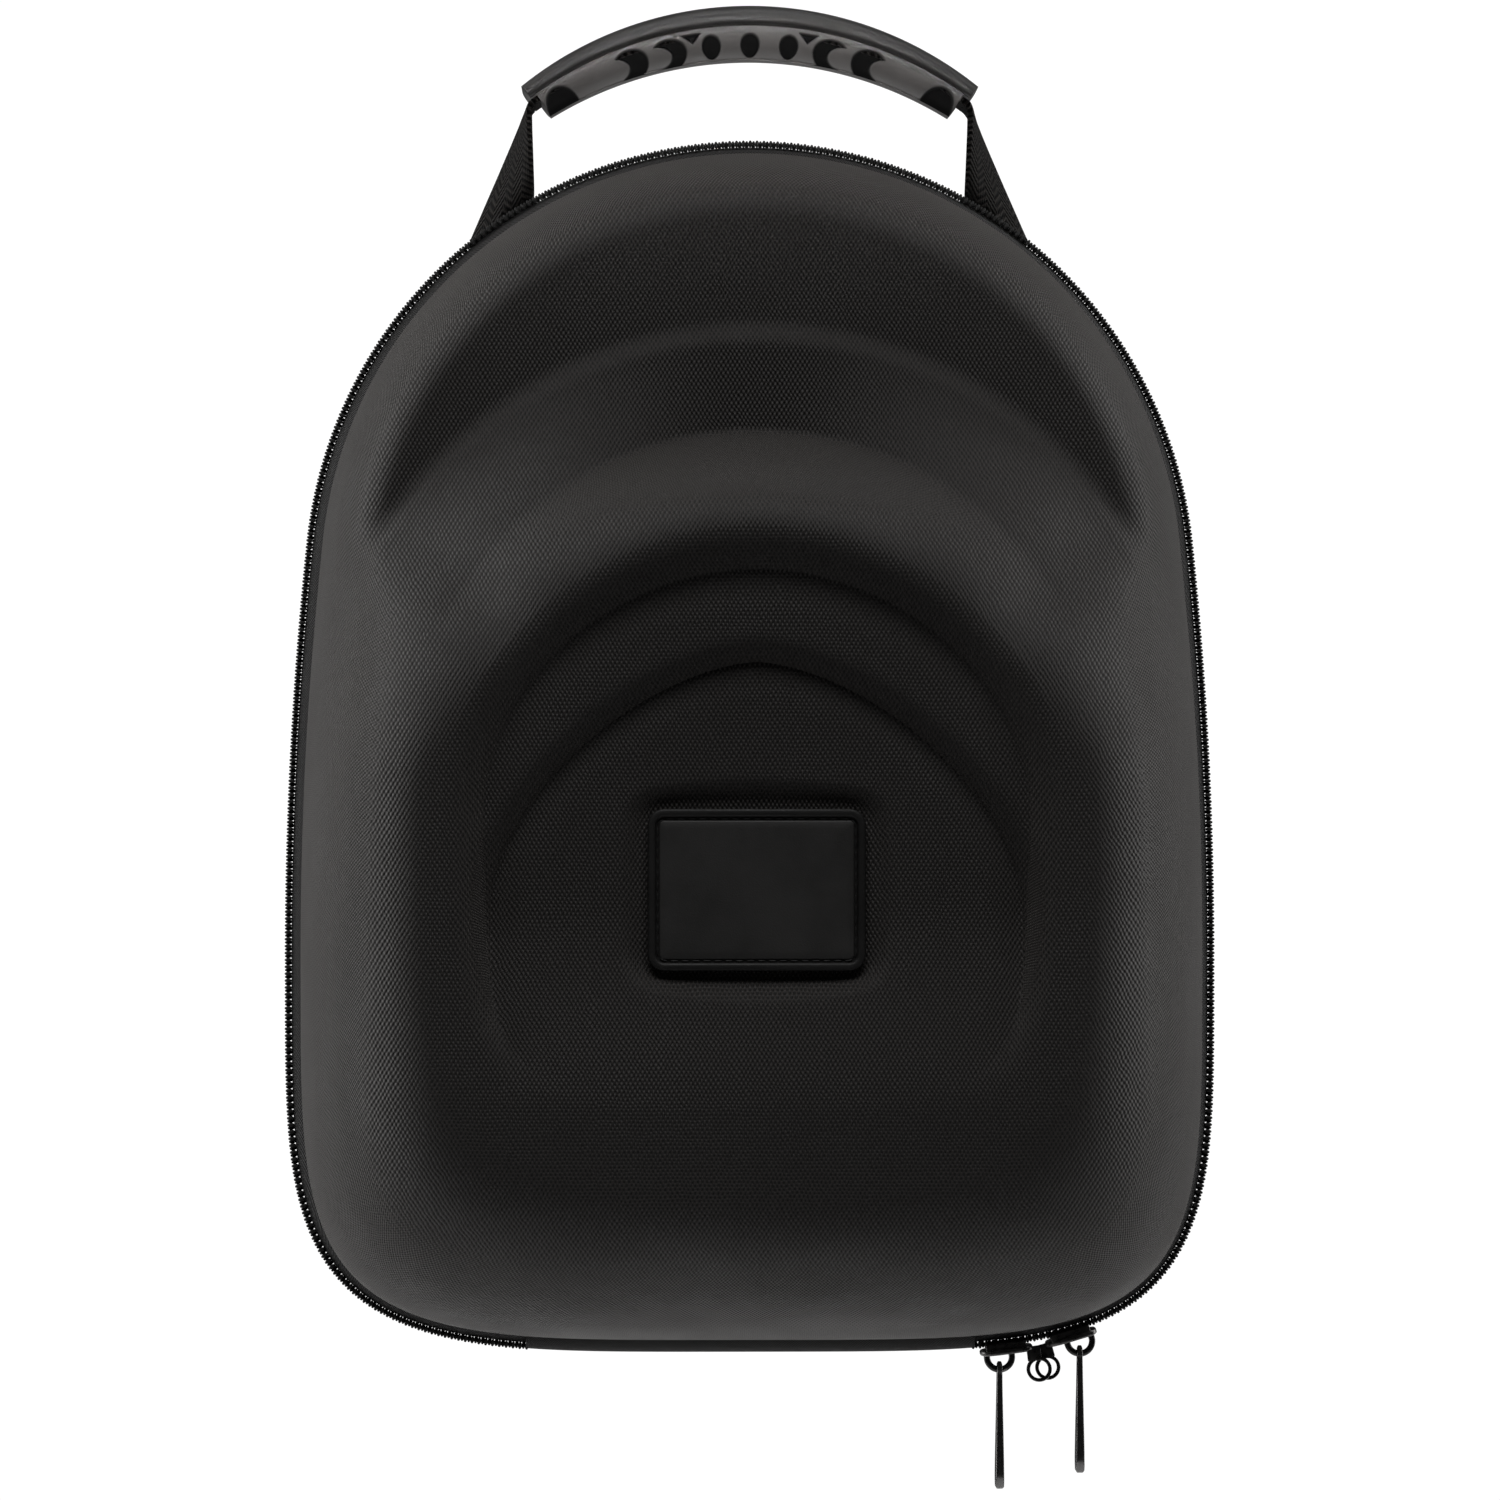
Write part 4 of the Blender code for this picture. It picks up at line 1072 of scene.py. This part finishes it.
def make_coil(surface):
    """Two rows of teeth that mesh in the middle, all the way over the top."""
    stations = zipper_stations(SIDE_STATIONS * 4)
    lengths = run_lengths([point for point, _ in stations])
    points = np.array([point for point, _ in stations])
    normals = np.array([normal for _, normal in stations])
    rings = tooth_rings()
    rows, sides = rings.shape[:2]
    vertices = []
    faces = []
    count = int(lengths[-1] / TOOTH_PITCH)
    for index in range(2 * count - 1):
        hand = 1.0 if index % 2 else -1.0
        length = TOOTH_PITCH * (index + 1.5) / 2
        middle = np.array([np.interp(length, lengths, points[:, axis]) for axis in (0, 1)])
        out = np.array([np.interp(length, lengths, normals[:, axis]) for axis in (0, 1)])
        out /= np.linalg.norm(out)
        tangent = np.array((out[1], -out[0]))
        start = len(vertices)
        for along, across, sink in rings.reshape(-1, 3):
            x, z = middle + tangent * along - out * sink
            vertices.append((x, ZIP_Y - hand * across, z))
        for row in range(rows - 1):
            for side in range(sides):
                after = (side + 1) % sides
                faces.append((start + row * sides + side, start + row * sides + after,
                              start + (row + 1) * sides + after, start + (row + 1) * sides + side))
        faces.append(tuple(start + side for side in range(sides)))
        faces.append(tuple(start + (rows - 1) * sides + side for side in range(sides)))
    mesh = bpy.data.meshes.new("zipper_teeth")
    mesh.from_pydata(vertices, [], faces)
    add_piece("zipper_teeth", mesh, surface, ["zipper_coil"], sharp=50.0)


def rounded_rectangle(width, height, corner, steps=8):
    """Points round a rectangle with round corners, in X and Z."""
    points = []
    for quarter in range(4):
        sign_x = 1.0 if quarter in (0, 3) else -1.0
        sign_z = 1.0 if quarter in (0, 1) else -1.0
        centre = Vector((sign_x * (width / 2 - corner), sign_z * (height / 2 - corner)))
        for step in range(steps + 1):
            angle = math.pi / 2 * (quarter + step / steps)
            points.append(centre + Vector((math.cos(angle), math.sin(angle))) * corner)
    return points


def make_patch(rubber_surface, thread_surface):
    """Soft badge on the pocket's floor: raised rim, stitched groove and a bare field."""
    back = ZIP_Y - pocket_floor_depth() - FIT
    face = back - PATCH_THICKNESS
    rim = face - PATCH_RIM_HEIGHT
    groove = face + PATCH_GROOVE
    # Columns: inset from the badge's edge, y
    steps = (
        (0.0004, back),
        (0.0, back - 0.0005),
        (0.0, face),
        (0.00015, rim + 0.00015),
        (0.0005, rim),
        (PATCH_RIM * 0.62, rim),
        (PATCH_RIM * 0.80, rim + 0.00012),
        (PATCH_RIM * 0.90, face),
        (PATCH_RIM * 0.95, groove),
        (PATCH_RIM * 1.25, groove),
        (PATCH_RIM * 1.32, face),
        (PATCH_RIM * 1.45, face - 0.00012),
        (PATCH_RIM * 2.2, face - 0.00016),
        (PATCH_RIM * 3.5, face - 0.00016),
    )
    rings = []
    for inset, y in steps:
        corner = max(PATCH_CORNER - inset, 0.0006)
        ring = rounded_rectangle(PATCH_WIDTH - 2 * inset, PATCH_HEIGHT - 2 * inset, corner)
        rings.append([(point.x, y, PATCH_Z + point.y) for point in ring])
    mesh = skin("patch_badge", rings)
    set_point_value(mesh, "field_share",
                    [inset > PATCH_RIM * 1.28 for inset, _ in steps for _ in rings[0]])
    add_piece("patch_badge", mesh, rubber_surface, ["patch"], sharp=50.0)

    inset = PATCH_RIM * 1.1
    line = rounded_rectangle(PATCH_WIDTH - 2 * inset, PATCH_HEIGHT - 2 * inset,
                             PATCH_CORNER - inset + 0.0006)
    line.append(line[0])
    lengths = run_lengths(line)

    def place_at(run):
        run %= lengths[-1]
        return Vector([np.interp(run, lengths, [point[axis] for point in line]) for axis in (0, 1)])

    count = round(lengths[-1] / STITCH_PITCH)
    stitches = []
    for index in range(count):
        middle = lengths[-1] * (index + 0.5) / count
        rings = []
        for step in range(STITCH_ROWS + 1):
            share = step / STITCH_ROWS - 0.5
            run = middle + share * STITCH_LENGTH
            place = place_at(run)
            along = (place_at(run + 0.0002) - place).normalized()
            swell = STITCH_RADIUS * math.sqrt(max(1.0 - (2.0 * share) ** 4, 0.05))
            ring = []
            for turn in round_turns(THREAD_SIDES):
                off = Vector((-along.y, along.x)) * swell * math.cos(turn)
                ring.append((place.x + off.x, groove - STITCH_RADIUS * 0.7 + swell * math.sin(turn),
                             PATCH_Z + place.y + off.y))
            rings.append(ring)
        stitches.append((skin("stitch", rings), Matrix.Identity(4)))
    add_piece("patch_stitches", joined("patch_stitches", stitches), thread_surface, [])


def grip_radius():
    """Radius of the arc through the middle of the grip."""
    half = GRIP_SPAN / 2
    return (half * half + GRIP_RISE * GRIP_RISE) / (2 * GRIP_RISE)


def grip_frame(turn):
    """Middle point and outward direction of the grip at a turn from its apex."""
    radius = grip_radius()
    outward = Vector((math.sin(turn), 0.0, math.cos(turn)))
    centre = Vector((0.0, 0.0, GRIP_MIDDLE / 2 - radius))
    return centre + outward * radius, outward


def grip_turn():
    """Turn from the grip's apex to its end."""
    return math.asin(GRIP_SPAN / 2 / grip_radius())


def grip_thickness(turn):
    """Thickness of the grip at a turn from its apex."""
    share = min((turn / grip_turn()) ** 2, 1.0)
    return GRIP_MIDDLE + (GRIP_END - GRIP_MIDDLE) * share


def strap_ring(middle, across, through):
    """Section of the strap: a flat oval with nearly square edges."""
    ring = []
    for turn in round_turns(STRAP_SIDES):
        wide = STRAP_WIDTH / 2 * signed_power(math.cos(turn), 0.25)
        thick = STRAP_THICKNESS / 2 * signed_power(math.sin(turn), 0.4)
        ring.append(middle + across * wide + through * thick)
    return ring


def strap_root():
    """Point, normal and tangent of the outline where the right end of the strap is sewn."""
    fine = np.linspace(0.0, 0.5, 1200)
    widths = [outline(travel)[0].x for travel in fine]
    point, normal = outline(float(np.interp(STRAP_SPAN / 2, widths, fine)))
    return point, normal, Vector((normal.y, -normal.x))


def right_leg():
    """Sections of the strap from the grip's end to the root, turning from edge-on to flat."""
    point, normal, tangent = strap_root()
    start, outward = grip_frame(grip_turn())
    leave = Vector((outward.z, 0.0, -outward.x))
    root = upright(point)
    inside = root - upright(normal) * (RIM_INSET + WALL / 2)
    root_across = upright(tangent)
    corner = start + leave * STRAP_BEND / 2
    down = (root - corner).normalized()
    first = corner + down * STRAP_BEND
    edge_on = Vector((0.0, 1.0, 0.0))
    least = math.asin(STRAP_LEAN)
    rings = []

    def add_ring(middle, along, turn):
        across = edge_on * math.cos(turn) + root_across * math.sin(turn)
        rings.append(strap_ring(middle, across, along.cross(across).normalized()))

    # The webbing bends down as it leaves the grip
    for step in range(1, BEND_ROWS):
        share = step / BEND_ROWS
        middle = start.lerp(corner, share).lerp(corner.lerp(first, share), share)
        add_ring(middle, leave.lerp(down, share).normalized(), least * share)
    # Its edges then run straight to the root
    for step in range(STRAP_ROWS + 1):
        turn = least + (math.pi / 2 - least) * step / STRAP_ROWS
        share = (math.sin(turn) - STRAP_LEAN) / (1.0 - STRAP_LEAN)
        add_ring(first.lerp(root, share), down, turn)
    for share in (0.3, 0.6, 1.0):
        rings.append(strap_ring(root.lerp(inside, share), root_across, Vector((0.0, -1.0, 0.0))))
    return rings


def make_strap(surface):
    """One length of webbing from root to root, passing through the grip."""
    right = right_leg()
    left = [[Vector((-corner.x, corner.y, corner.z)) for corner in ring] for ring in reversed(right)]
    through_grip = []
    for step in range(STRAP_ROWS + 1):
        middle, outward = grip_frame(grip_turn() * (2.0 * step / STRAP_ROWS - 1.0))
        through_grip.append(strap_ring(middle, Vector((0.0, 1.0, 0.0)), outward))
    half = len(left[0]) // 2
    flipped = [[ring[(half - index) % len(ring)] for index in range(len(ring))] for ring in left]
    rings = flipped + through_grip + right
    middles = [sum(ring, Vector((0.0, 0.0, 0.0))) / len(ring) for ring in rings]
    flat_ring = strap_ring(Vector((0.0, 0.0, 0.0)), Vector((1.0, 0.0, 0.0)), Vector((0.0, 1.0, 0.0)))
    around = [corner.x for corner in flat_ring] + [flat_ring[0].x]
    mesh = skin("strap_webbing", rings, weave_map(run_lengths(middles), around))
    add_piece("strap_webbing", mesh, surface, ["handle_strap"])


def oval_distance(along, height, at, oval):
    """Signed distance, roughly, to an oval of the grip's side: negative inside."""
    above, wide, tall = oval
    reach = np.hypot((along - at) / (wide / 2), (height - above) / (tall / 2))
    return (reach - 1.0) * min(wide, tall) / 2


def cut_depth(distance, soft, depth):
    """Depth of a cut with walls that are soft over a length."""
    return depth * min(max(0.5 - distance / soft, 0.0), 1.0)


def pocket_depth(along, height):
    """How deep the grip's side is cut at a place along its arc and above its underside."""
    depths = []
    for at in DIMPLE_PLACES:
        depths.append(cut_depth(oval_distance(along, height, at, DIMPLE), POCKET_SOFT, POCKET_CUT))
    at, top, tall, wide = TRIANGLE
    slope = abs(along - at) / (wide / 2) - (height - (top - tall)) / tall
    distance = max(slope * tall * 0.7, height - top)
    depths.append(cut_depth(distance, POCKET_SOFT, POCKET_CUT * 0.8))
    for at, tongue in SCALE_PLACES:
        distance = max(oval_distance(along, height, at, SCALE),
                       -oval_distance(along, height, tongue, TONGUE))
        depths.append(cut_depth(distance, POCKET_SOFT, POCKET_CUT))
    return max(depths)


def notch_depth(along, height, half_length):
    """How deep the arched notch at each end of the grip is cut."""
    distance = oval_distance(along, height, half_length - NOTCH_INSET, NOTCH)
    return cut_depth(distance, NOTCH_SOFT, NOTCH_CUT)


def make_grip(surface):
    """Moulded grip: a flange over a rounded body with blind pockets on both sides."""
    reach = grip_turn()
    radius = grip_radius()
    half_length = radius * reach * GRIP_BODY_REACH
    # Columns: half width, height, reach of its end, whether it is the body
    section = [(side, height, 1.0, False) for side, height in GRIP_SECTION]
    for fall in np.linspace(0.0, 1.0, GRIP_ROWS + 1)[1:]:
        bulge = math.sqrt(max(1.0 - fall ** GRIP_ROUND, 0.0))
        section.append((GRIP_BODY_SHARE * max(bulge, GRIP_KEEL), GRIP_BODY_TOP * (1.0 - fall),
                        GRIP_BODY_REACH, True))
    section.append((0.0, -0.01, GRIP_BODY_REACH, True))
    rows = []
    marks = []
    for place in np.linspace(-1.0, 1.0, GRIP_COLUMNS + 1):
        half = []
        shade = []
        for side, height, share, body in section:
            turn = reach * place * share
            middle, outward = grip_frame(turn)
            thickness = grip_thickness(turn)
            cut = 0.0
            if body and height > 0.0:
                along = radius * abs(turn)
                above = height * thickness
                cut = max(pocket_depth(along, above), notch_depth(along, above, half_length))
            rise = max(height, 0.0) * thickness - thickness / 2
            half.append((middle + outward * rise, side * GRIP_WIDTH / 2 - cut))
            # Marks for painted light on the body and painted shade down in the pockets
            shade.append((body, min(cut / POCKET_CUT * 1.8, 1.0)))
        right = [middle + Vector((0.0, y, 0.0)) for middle, y in half]
        left = [middle - Vector((0.0, y, 0.0)) for middle, y in reversed(half[1:-1])]
        rows.append(right + left)
        marks.append(shade + shade[-2:0:-1])
    mesh = skin("grip_moulding", rows)
    # Shares for the painted light on the body and the painted shade in the pockets
    body_painted_light, cut_painted_shade = np.array(marks, float).reshape(-1, 2).T
    set_point_value(mesh, "body_painted_light", body_painted_light)
    set_point_value(mesh, "cut_painted_shade", cut_painted_shade)
    add_piece("grip_moulding", mesh, surface, ["handle_grip"], sharp=75.0)


def slider_matrix(x):
    """Frame of a slider that rides on the coil: local -Z points out of the case."""
    point, normal = outline(travel_at_width(x))
    frame = Matrix.Identity(4)
    frame.col[0].xyz = (-normal.y, 0.0, normal.x)
    frame.col[2].xyz = (-normal.x, 0.0, -normal.y)
    frame.translation = (point.x, ZIP_Y, point.y)
    return frame


def slider_x(hand):
    """Place of a slider along the bottom; the two park nose to nose."""
    left = HINGE_LENGTH / 2 + SLIDER_PARK
    return left if hand > 0 else left + SLIDER_SPACING


def plate_mesh():
    """Slider's outer plate, narrower at its nose, with rounded edges and a long middle ridge."""
    half_length = SLIDER_LENGTH / 2
    half_width = SLIDER_WIDTH / 2
    # Columns: place over the half length, width over the half width
    plan = ((-1.0, 0.0), (-0.98, 0.30), (-0.90, 0.62), (-0.75, 0.85), (-0.52, 0.96), (-0.3, 1.0),
            (0.1, 0.985), (0.6, 0.92), (0.80, 0.84), (0.93, 0.66), (0.99, 0.34), (1.0, 0.0))
    right = [(along * half_length, -across * half_width) for along, across in plan]
    left = [(x, -y) for x, y in reversed(right[1:-1])]
    top = -SLIDER_PLATE - FIT
    # Columns: share of the plan's size, height
    levels = ((0.97, -FIT), (1.0, -FIT - 0.0003), (1.0, top + 0.0005), (0.975, top + 0.00022),
              (0.93, top + 0.00006), (0.85, top), (0.5, top - 0.00012))
    rings = []
    for share, z in levels:
        rings.append([(x * share, y * share, z) for x, y in right + left])
    return skin("plate", rings)


def bar_mesh(points, radius):
    """Round bar along points in the XZ plane."""
    rings = []
    for index, point in enumerate(points):
        before = points[max(index - 1, 0)]
        after = points[min(index + 1, len(points) - 1)]
        along = (after - before).normalized()
        across = Vector((-along.z, 0.0, along.x))
        ring = []
        for turn in round_turns(BAR_SIDES):
            ring.append(point + across * radius * math.cos(turn)
                        + Vector((0.0, 1.0, 0.0)) * radius * math.sin(turn))
        rings.append(ring)
    return skin("bar", rings)


def bridge_mesh(shift):
    """Half ring that carries the pull, with its legs in the slider's plate."""
    top = -FIT - SLIDER_PLATE / 2
    centre_z = -FIT - SLIDER_PLATE - BRIDGE_LIFT
    points = [Vector((shift - BRIDGE_RADIUS, 0.0, top))]
    for step in range(BRIDGE_ROWS + 1):
        angle = math.pi * step / BRIDGE_ROWS
        points.append(Vector((shift - BRIDGE_RADIUS * math.cos(angle), 0.0,
                              centre_z - BRIDGE_RADIUS * math.sin(angle))))
    points.append(Vector((shift + BRIDGE_RADIUS, 0.0, top)))
    return bar_mesh(points, BRIDGE_BAR / 2)


def lock_eye_centre(hand):
    """Place of the lock eye in the slider's frame."""
    x = hand * (SLIDER_LENGTH / 2 + LOCK_EYE * LOCK_CLEARANCE)
    return x, -FIT - SLIDER_PLATE - LOCK_DROP - LOCK_EYE / 2


def lock_eye_mesh(hand):
    """Flat ring beside the slider's plate for a small padlock, with rounded edges."""
    centre_x, centre_z = lock_eye_centre(hand)
    middle_y = -hand * (FIT + LOCK_THICKNESS / 2)
    middle_radius = LOCK_EYE / 2 - LOCK_WALL / 2
    rows = []
    for turn in round_turns(EYE_ROWS) + [2 * math.pi]:
        ring = []
        for angle in round_turns(EYE_SIDES, 0.5):
            radius = middle_radius + signed_power(math.cos(angle), 0.6) * LOCK_WALL / 2
            deep = signed_power(math.sin(angle), 0.5) * LOCK_THICKNESS / 2
            ring.append((centre_x + radius * math.cos(turn), middle_y + deep,
                         centre_z + radius * math.sin(turn)))
        rows.append(ring)
    return edited(skin("eye", rows, caps=False),
                  lambda build: bmesh.ops.remove_doubles(build, verts=build.verts, dist=1e-7))


def block_mesh(corner, opposite, bevel):
    """Closed block between two corners with softened edges."""
    middle = (Vector(corner) + Vector(opposite)) / 2
    size = [abs(far - near) for near, far in zip(corner, opposite)]
    frame = Matrix.Translation(middle) @ Matrix.Diagonal((*size, 1.0))

    def fill(build):
        bmesh.ops.create_cube(build, size=1.0, matrix=frame)
        bmesh.ops.bevel(build, geom=build.edges[:] + build.verts[:], offset=bevel, segments=3,
                        profile=0.5, affect="EDGES")

    return edited(bpy.data.meshes.new("block"), fill)


def make_slider(name, hand, surface):
    """Zipper slider: plate, flanges, bridge and lock eye; hand is +1 with the eye toward +X."""
    inner = COIL_WIDTH / 2 + FIT
    outer = inner + SLIDER_FLANGE
    flange = SLIDER_LENGTH * FLANGE_SHARE
    top = -FIT - SLIDER_PLATE
    meshes = [plate_mesh(), bridge_mesh(-hand * BRIDGE_SHIFT), lock_eye_mesh(hand)]
    for sign in (-1.0, 1.0):
        meshes.append(block_mesh((-flange, sign * inner, top + SLIDER_PLATE / 2),
                                 (flange, sign * outer, COIL_THICKNESS * FLANGE_SINK), FLANGE_BEVEL))
    # Lug that carries the lock eye
    eye_x, _ = lock_eye_centre(hand)
    meshes.append(block_mesh((hand * flange, -hand * FIT, top - LOCK_DROP - LOCK_WALL),
                             (eye_x + hand * LOCK_WALL, -hand * (FIT + LOCK_THICKNESS),
                              top + SLIDER_PLATE * 2 / 3), LUG_BEVEL))
    frame = slider_matrix(slider_x(hand))
    whole = joined(name + "_metal", [(mesh, frame) for mesh in meshes])
    add_piece(name + "_metal", whole, surface, [name])


def pull_half_width(below_top):
    """Half the width of a pull at a distance below its upper end."""
    eye = PULL_EYE / 2
    width = 0.0
    if below_top < PULL_EYE:
        width = math.sqrt(max(eye ** 2 - (below_top - eye) ** 2, 0.0))
    if below_top > eye:
        spread = ramp(below_top, PULL_EYE, PULL_LENGTH * PULL_SPREAD_SHARE)
        width = max(width, (PULL_WAIST + (PULL_WIDTH - PULL_WAIST) * spread) / 2)
    rounding = PULL_WIDTH / 2
    left = PULL_LENGTH - below_top
    if left < rounding:
        width *= math.sqrt(max(1.0 - (1.0 - left / rounding) ** 2, 0.0))
    return width


def pull_mesh():
    """Flat pull in the YZ plane, hanging from its own origin, with rounded edges."""
    top = PULL_EYE / 2 - BRIDGE_RADIUS
    turns = np.linspace(0.0, math.pi, PULL_ROWS)
    rings = []
    for share in (1.0 - np.cos(turns)) / 2:
        share = min(max(share, 0.0006), 0.9994)
        below = share * PULL_LENGTH
        wide = max(pull_half_width(below), 0.0001)
        thick = (PULL_TOP_THICKNESS + (PULL_END_THICKNESS - PULL_TOP_THICKNESS) * share) / 2
        ending = min(share, 1.0 - share) * PULL_LENGTH
        thick *= math.sqrt(min(1.0, 0.35 + 0.65 * ending / PULL_TAPER))
        edge = min(PULL_EDGE, wide * 0.5, thick * 0.6)
        z = top - below
        ring = []
        for quarter, (sign_x, sign_y) in enumerate(((1, 1), (-1, 1), (-1, -1), (1, -1))):
            for step in range(4):
                angle = math.pi / 2 * (quarter + step / 3)
                ring.append((sign_x * (thick - edge) + edge * math.cos(angle),
                             sign_y * (wide - edge) + edge * math.sin(angle), z))
        rings.append(ring)
    return skin("pull", rings)


def cut_hole(thing, mesh, frame):
    """Take a helper mesh out of an object and bake the result."""
    helper = add_object("helper", mesh)
    helper.matrix_world = frame
    boolean = thing.modifiers.new("Cut", "BOOLEAN")
    boolean.operation = "DIFFERENCE"
    boolean.solver = "EXACT"
    boolean.object = helper
    graph = bpy.context.evaluated_depsgraph_get()
    baked = bpy.data.meshes.new_from_object(thing.evaluated_get(graph))
    thing.modifiers.clear()
    thing.data = baked
    bpy.data.objects.remove(helper, do_unlink=True)
    return baked


def make_pull(name, hand, surface):
    """Pull with its eye round the slider's bridge."""
    local = Vector((-hand * BRIDGE_SHIFT, 0.0, -FIT - SLIDER_PLATE - BRIDGE_LIFT))
    pivot = slider_matrix(slider_x(hand)) @ local
    mesh = pull_mesh()
    fix_normals(mesh)
    blank = add_object("blank", mesh)
    radius = BRIDGE_BAR / 2 + FIT
    hole = edited(bpy.data.meshes.new("hole"), lambda build: bmesh.ops.create_cone(
        build, cap_ends=True, segments=HOLE_SIDES, radius1=radius, radius2=radius, depth=PULL_EYE))
    frame = Matrix.Translation((0.0, 0.0, -BRIDGE_RADIUS)) @ Matrix.Rotation(math.pi / 2, 4, "Y")
    baked = cut_hole(blank, hole, frame)
    bpy.data.objects.remove(blank, do_unlink=True)
    baked.name = name + "_metal"
    baked.transform(Matrix.Translation(pivot))
    add_piece(name + "_metal", baked, surface, [name], body=name)


def add_light(name, place, size, power, aim_z=VIEW_HEIGHT, spread=180.0):
    """Soft rectangular light that the camera doesn't see, aimed at a height on the Z axis."""
    lamp = bpy.data.lights.new(name, "AREA")
    lamp.spread = math.radians(spread)
    lamp.shape = "RECTANGLE"
    lamp.size, lamp.size_y = size
    lamp.energy = power
    thing = add_object(name, lamp)
    thing.location = place
    heading = Vector((0.0, 0.0, aim_z)) - thing.location
    thing.rotation_euler = heading.to_track_quat("-Z", "Y").to_euler()
    thing.visible_camera = False


def make_stage():
    """Pale round floor well below the hanging case, white surroundings and soft lights."""
    rings = [[(FLOOR_RADIUS * math.cos(turn), FLOOR_RADIUS * math.sin(turn), -drop)
              for turn in round_turns(FLOOR_SIDES)]
             for drop in (FLOOR_DROP + FLOOR_THICKNESS, FLOOR_DROP)]
    mesh = skin("floor", rings)
    fix_normals(mesh)
    floor = add_object("floor", mesh)
    surface = Surface("floor_paint", 0.8)
    mottle = surface.noise(3.0, 3.0)
    surface.paint(surface.colour(mottle, (0.86, 0.86, 0.86), (0.90, 0.90, 0.90)))
    mesh.materials.append(surface.material)

    world = bpy.data.worlds.new("studio")
    bpy.context.scene.world = world
    world.use_nodes = True
    tree = world.node_tree
    background = tree.nodes["Background"]
    background.inputs["Color"].default_value = (1.0, 1.0, 1.0, 1.0)
    path = tree.nodes.new("ShaderNodeLightPath")
    strength = tree.nodes.new("ShaderNodeMapRange")
    tree.links.new(path.outputs["Is Camera Ray"], strength.inputs[0])
    strength.inputs["To Min"].default_value = WORLD_LIGHT
    strength.inputs["To Max"].default_value = WORLD_SEEN
    tree.links.new(strength.outputs[0], background.inputs["Strength"])

    for light in LIGHTS:
        add_light(*light)
    add_light(*GRIP_LIGHT, GRIP_LIGHT_AIM, GRIP_LIGHT_SPREAD)


def make_camera():
    """Camera in front of the case, a little to its left."""
    data = bpy.data.cameras.new("camera")
    data.sensor_width = 36.0
    data.lens = data.sensor_width * CAMERA_DISTANCE / FRAME_WIDTH
    camera = add_object("camera", data)
    aim = Vector((0.0, ZIP_Y, VIEW_HEIGHT))
    camera.location = Vector((CAMERA_SIDE, ZIP_Y - CAMERA_DISTANCE, VIEW_HEIGHT))
    camera.rotation_euler = (aim - camera.location).to_track_quat("-Z", "Y").to_euler()
    data.clip_start = 0.05
    data.clip_end = 50.0
    bpy.context.scene.camera = camera


def main():
    """Dress the case."""
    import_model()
    bpy.context.scene.view_settings.view_transform = "Standard"
    make_camera()
    make_stage()
    cloth = shell_cloth()
    make_shell("front_shell", front_column, -1.0, cloth)
    make_shell("back_shell", back_column, 1.0, cloth)
    make_tapes(twill_cloth("tape_cloth", (0.026, 0.0245, 0.0240), (0.009, 0.0085, 0.0083),
                           TWILL_PERIOD))
    make_hinge(twill_cloth("hinge_cloth", (0.024, 0.0225, 0.0215), (0.012, 0.0112, 0.0108),
                           HINGE_PERIOD))
    make_coil(plastic("coil_nylon", (0.0055, 0.0052, 0.005), 0.72))
    make_patch(patch_rubber(), plastic("patch_thread", (0.004, 0.0038, 0.0037), 0.6))
    make_strap(webbing_cloth())
    make_grip(grip_rubber())
    slider_metal = metal("slider_metal", (0.075, 0.073, 0.073), 0.30)
    pull_metal = metal("pull_metal", (0.24, 0.237, 0.235), 0.30)
    for hand, side in ((1.0, "left"), (-1.0, "right")):
        make_slider("slider_" + side, hand, slider_metal)
        make_pull("pull_" + side, hand, pull_metal)


main()
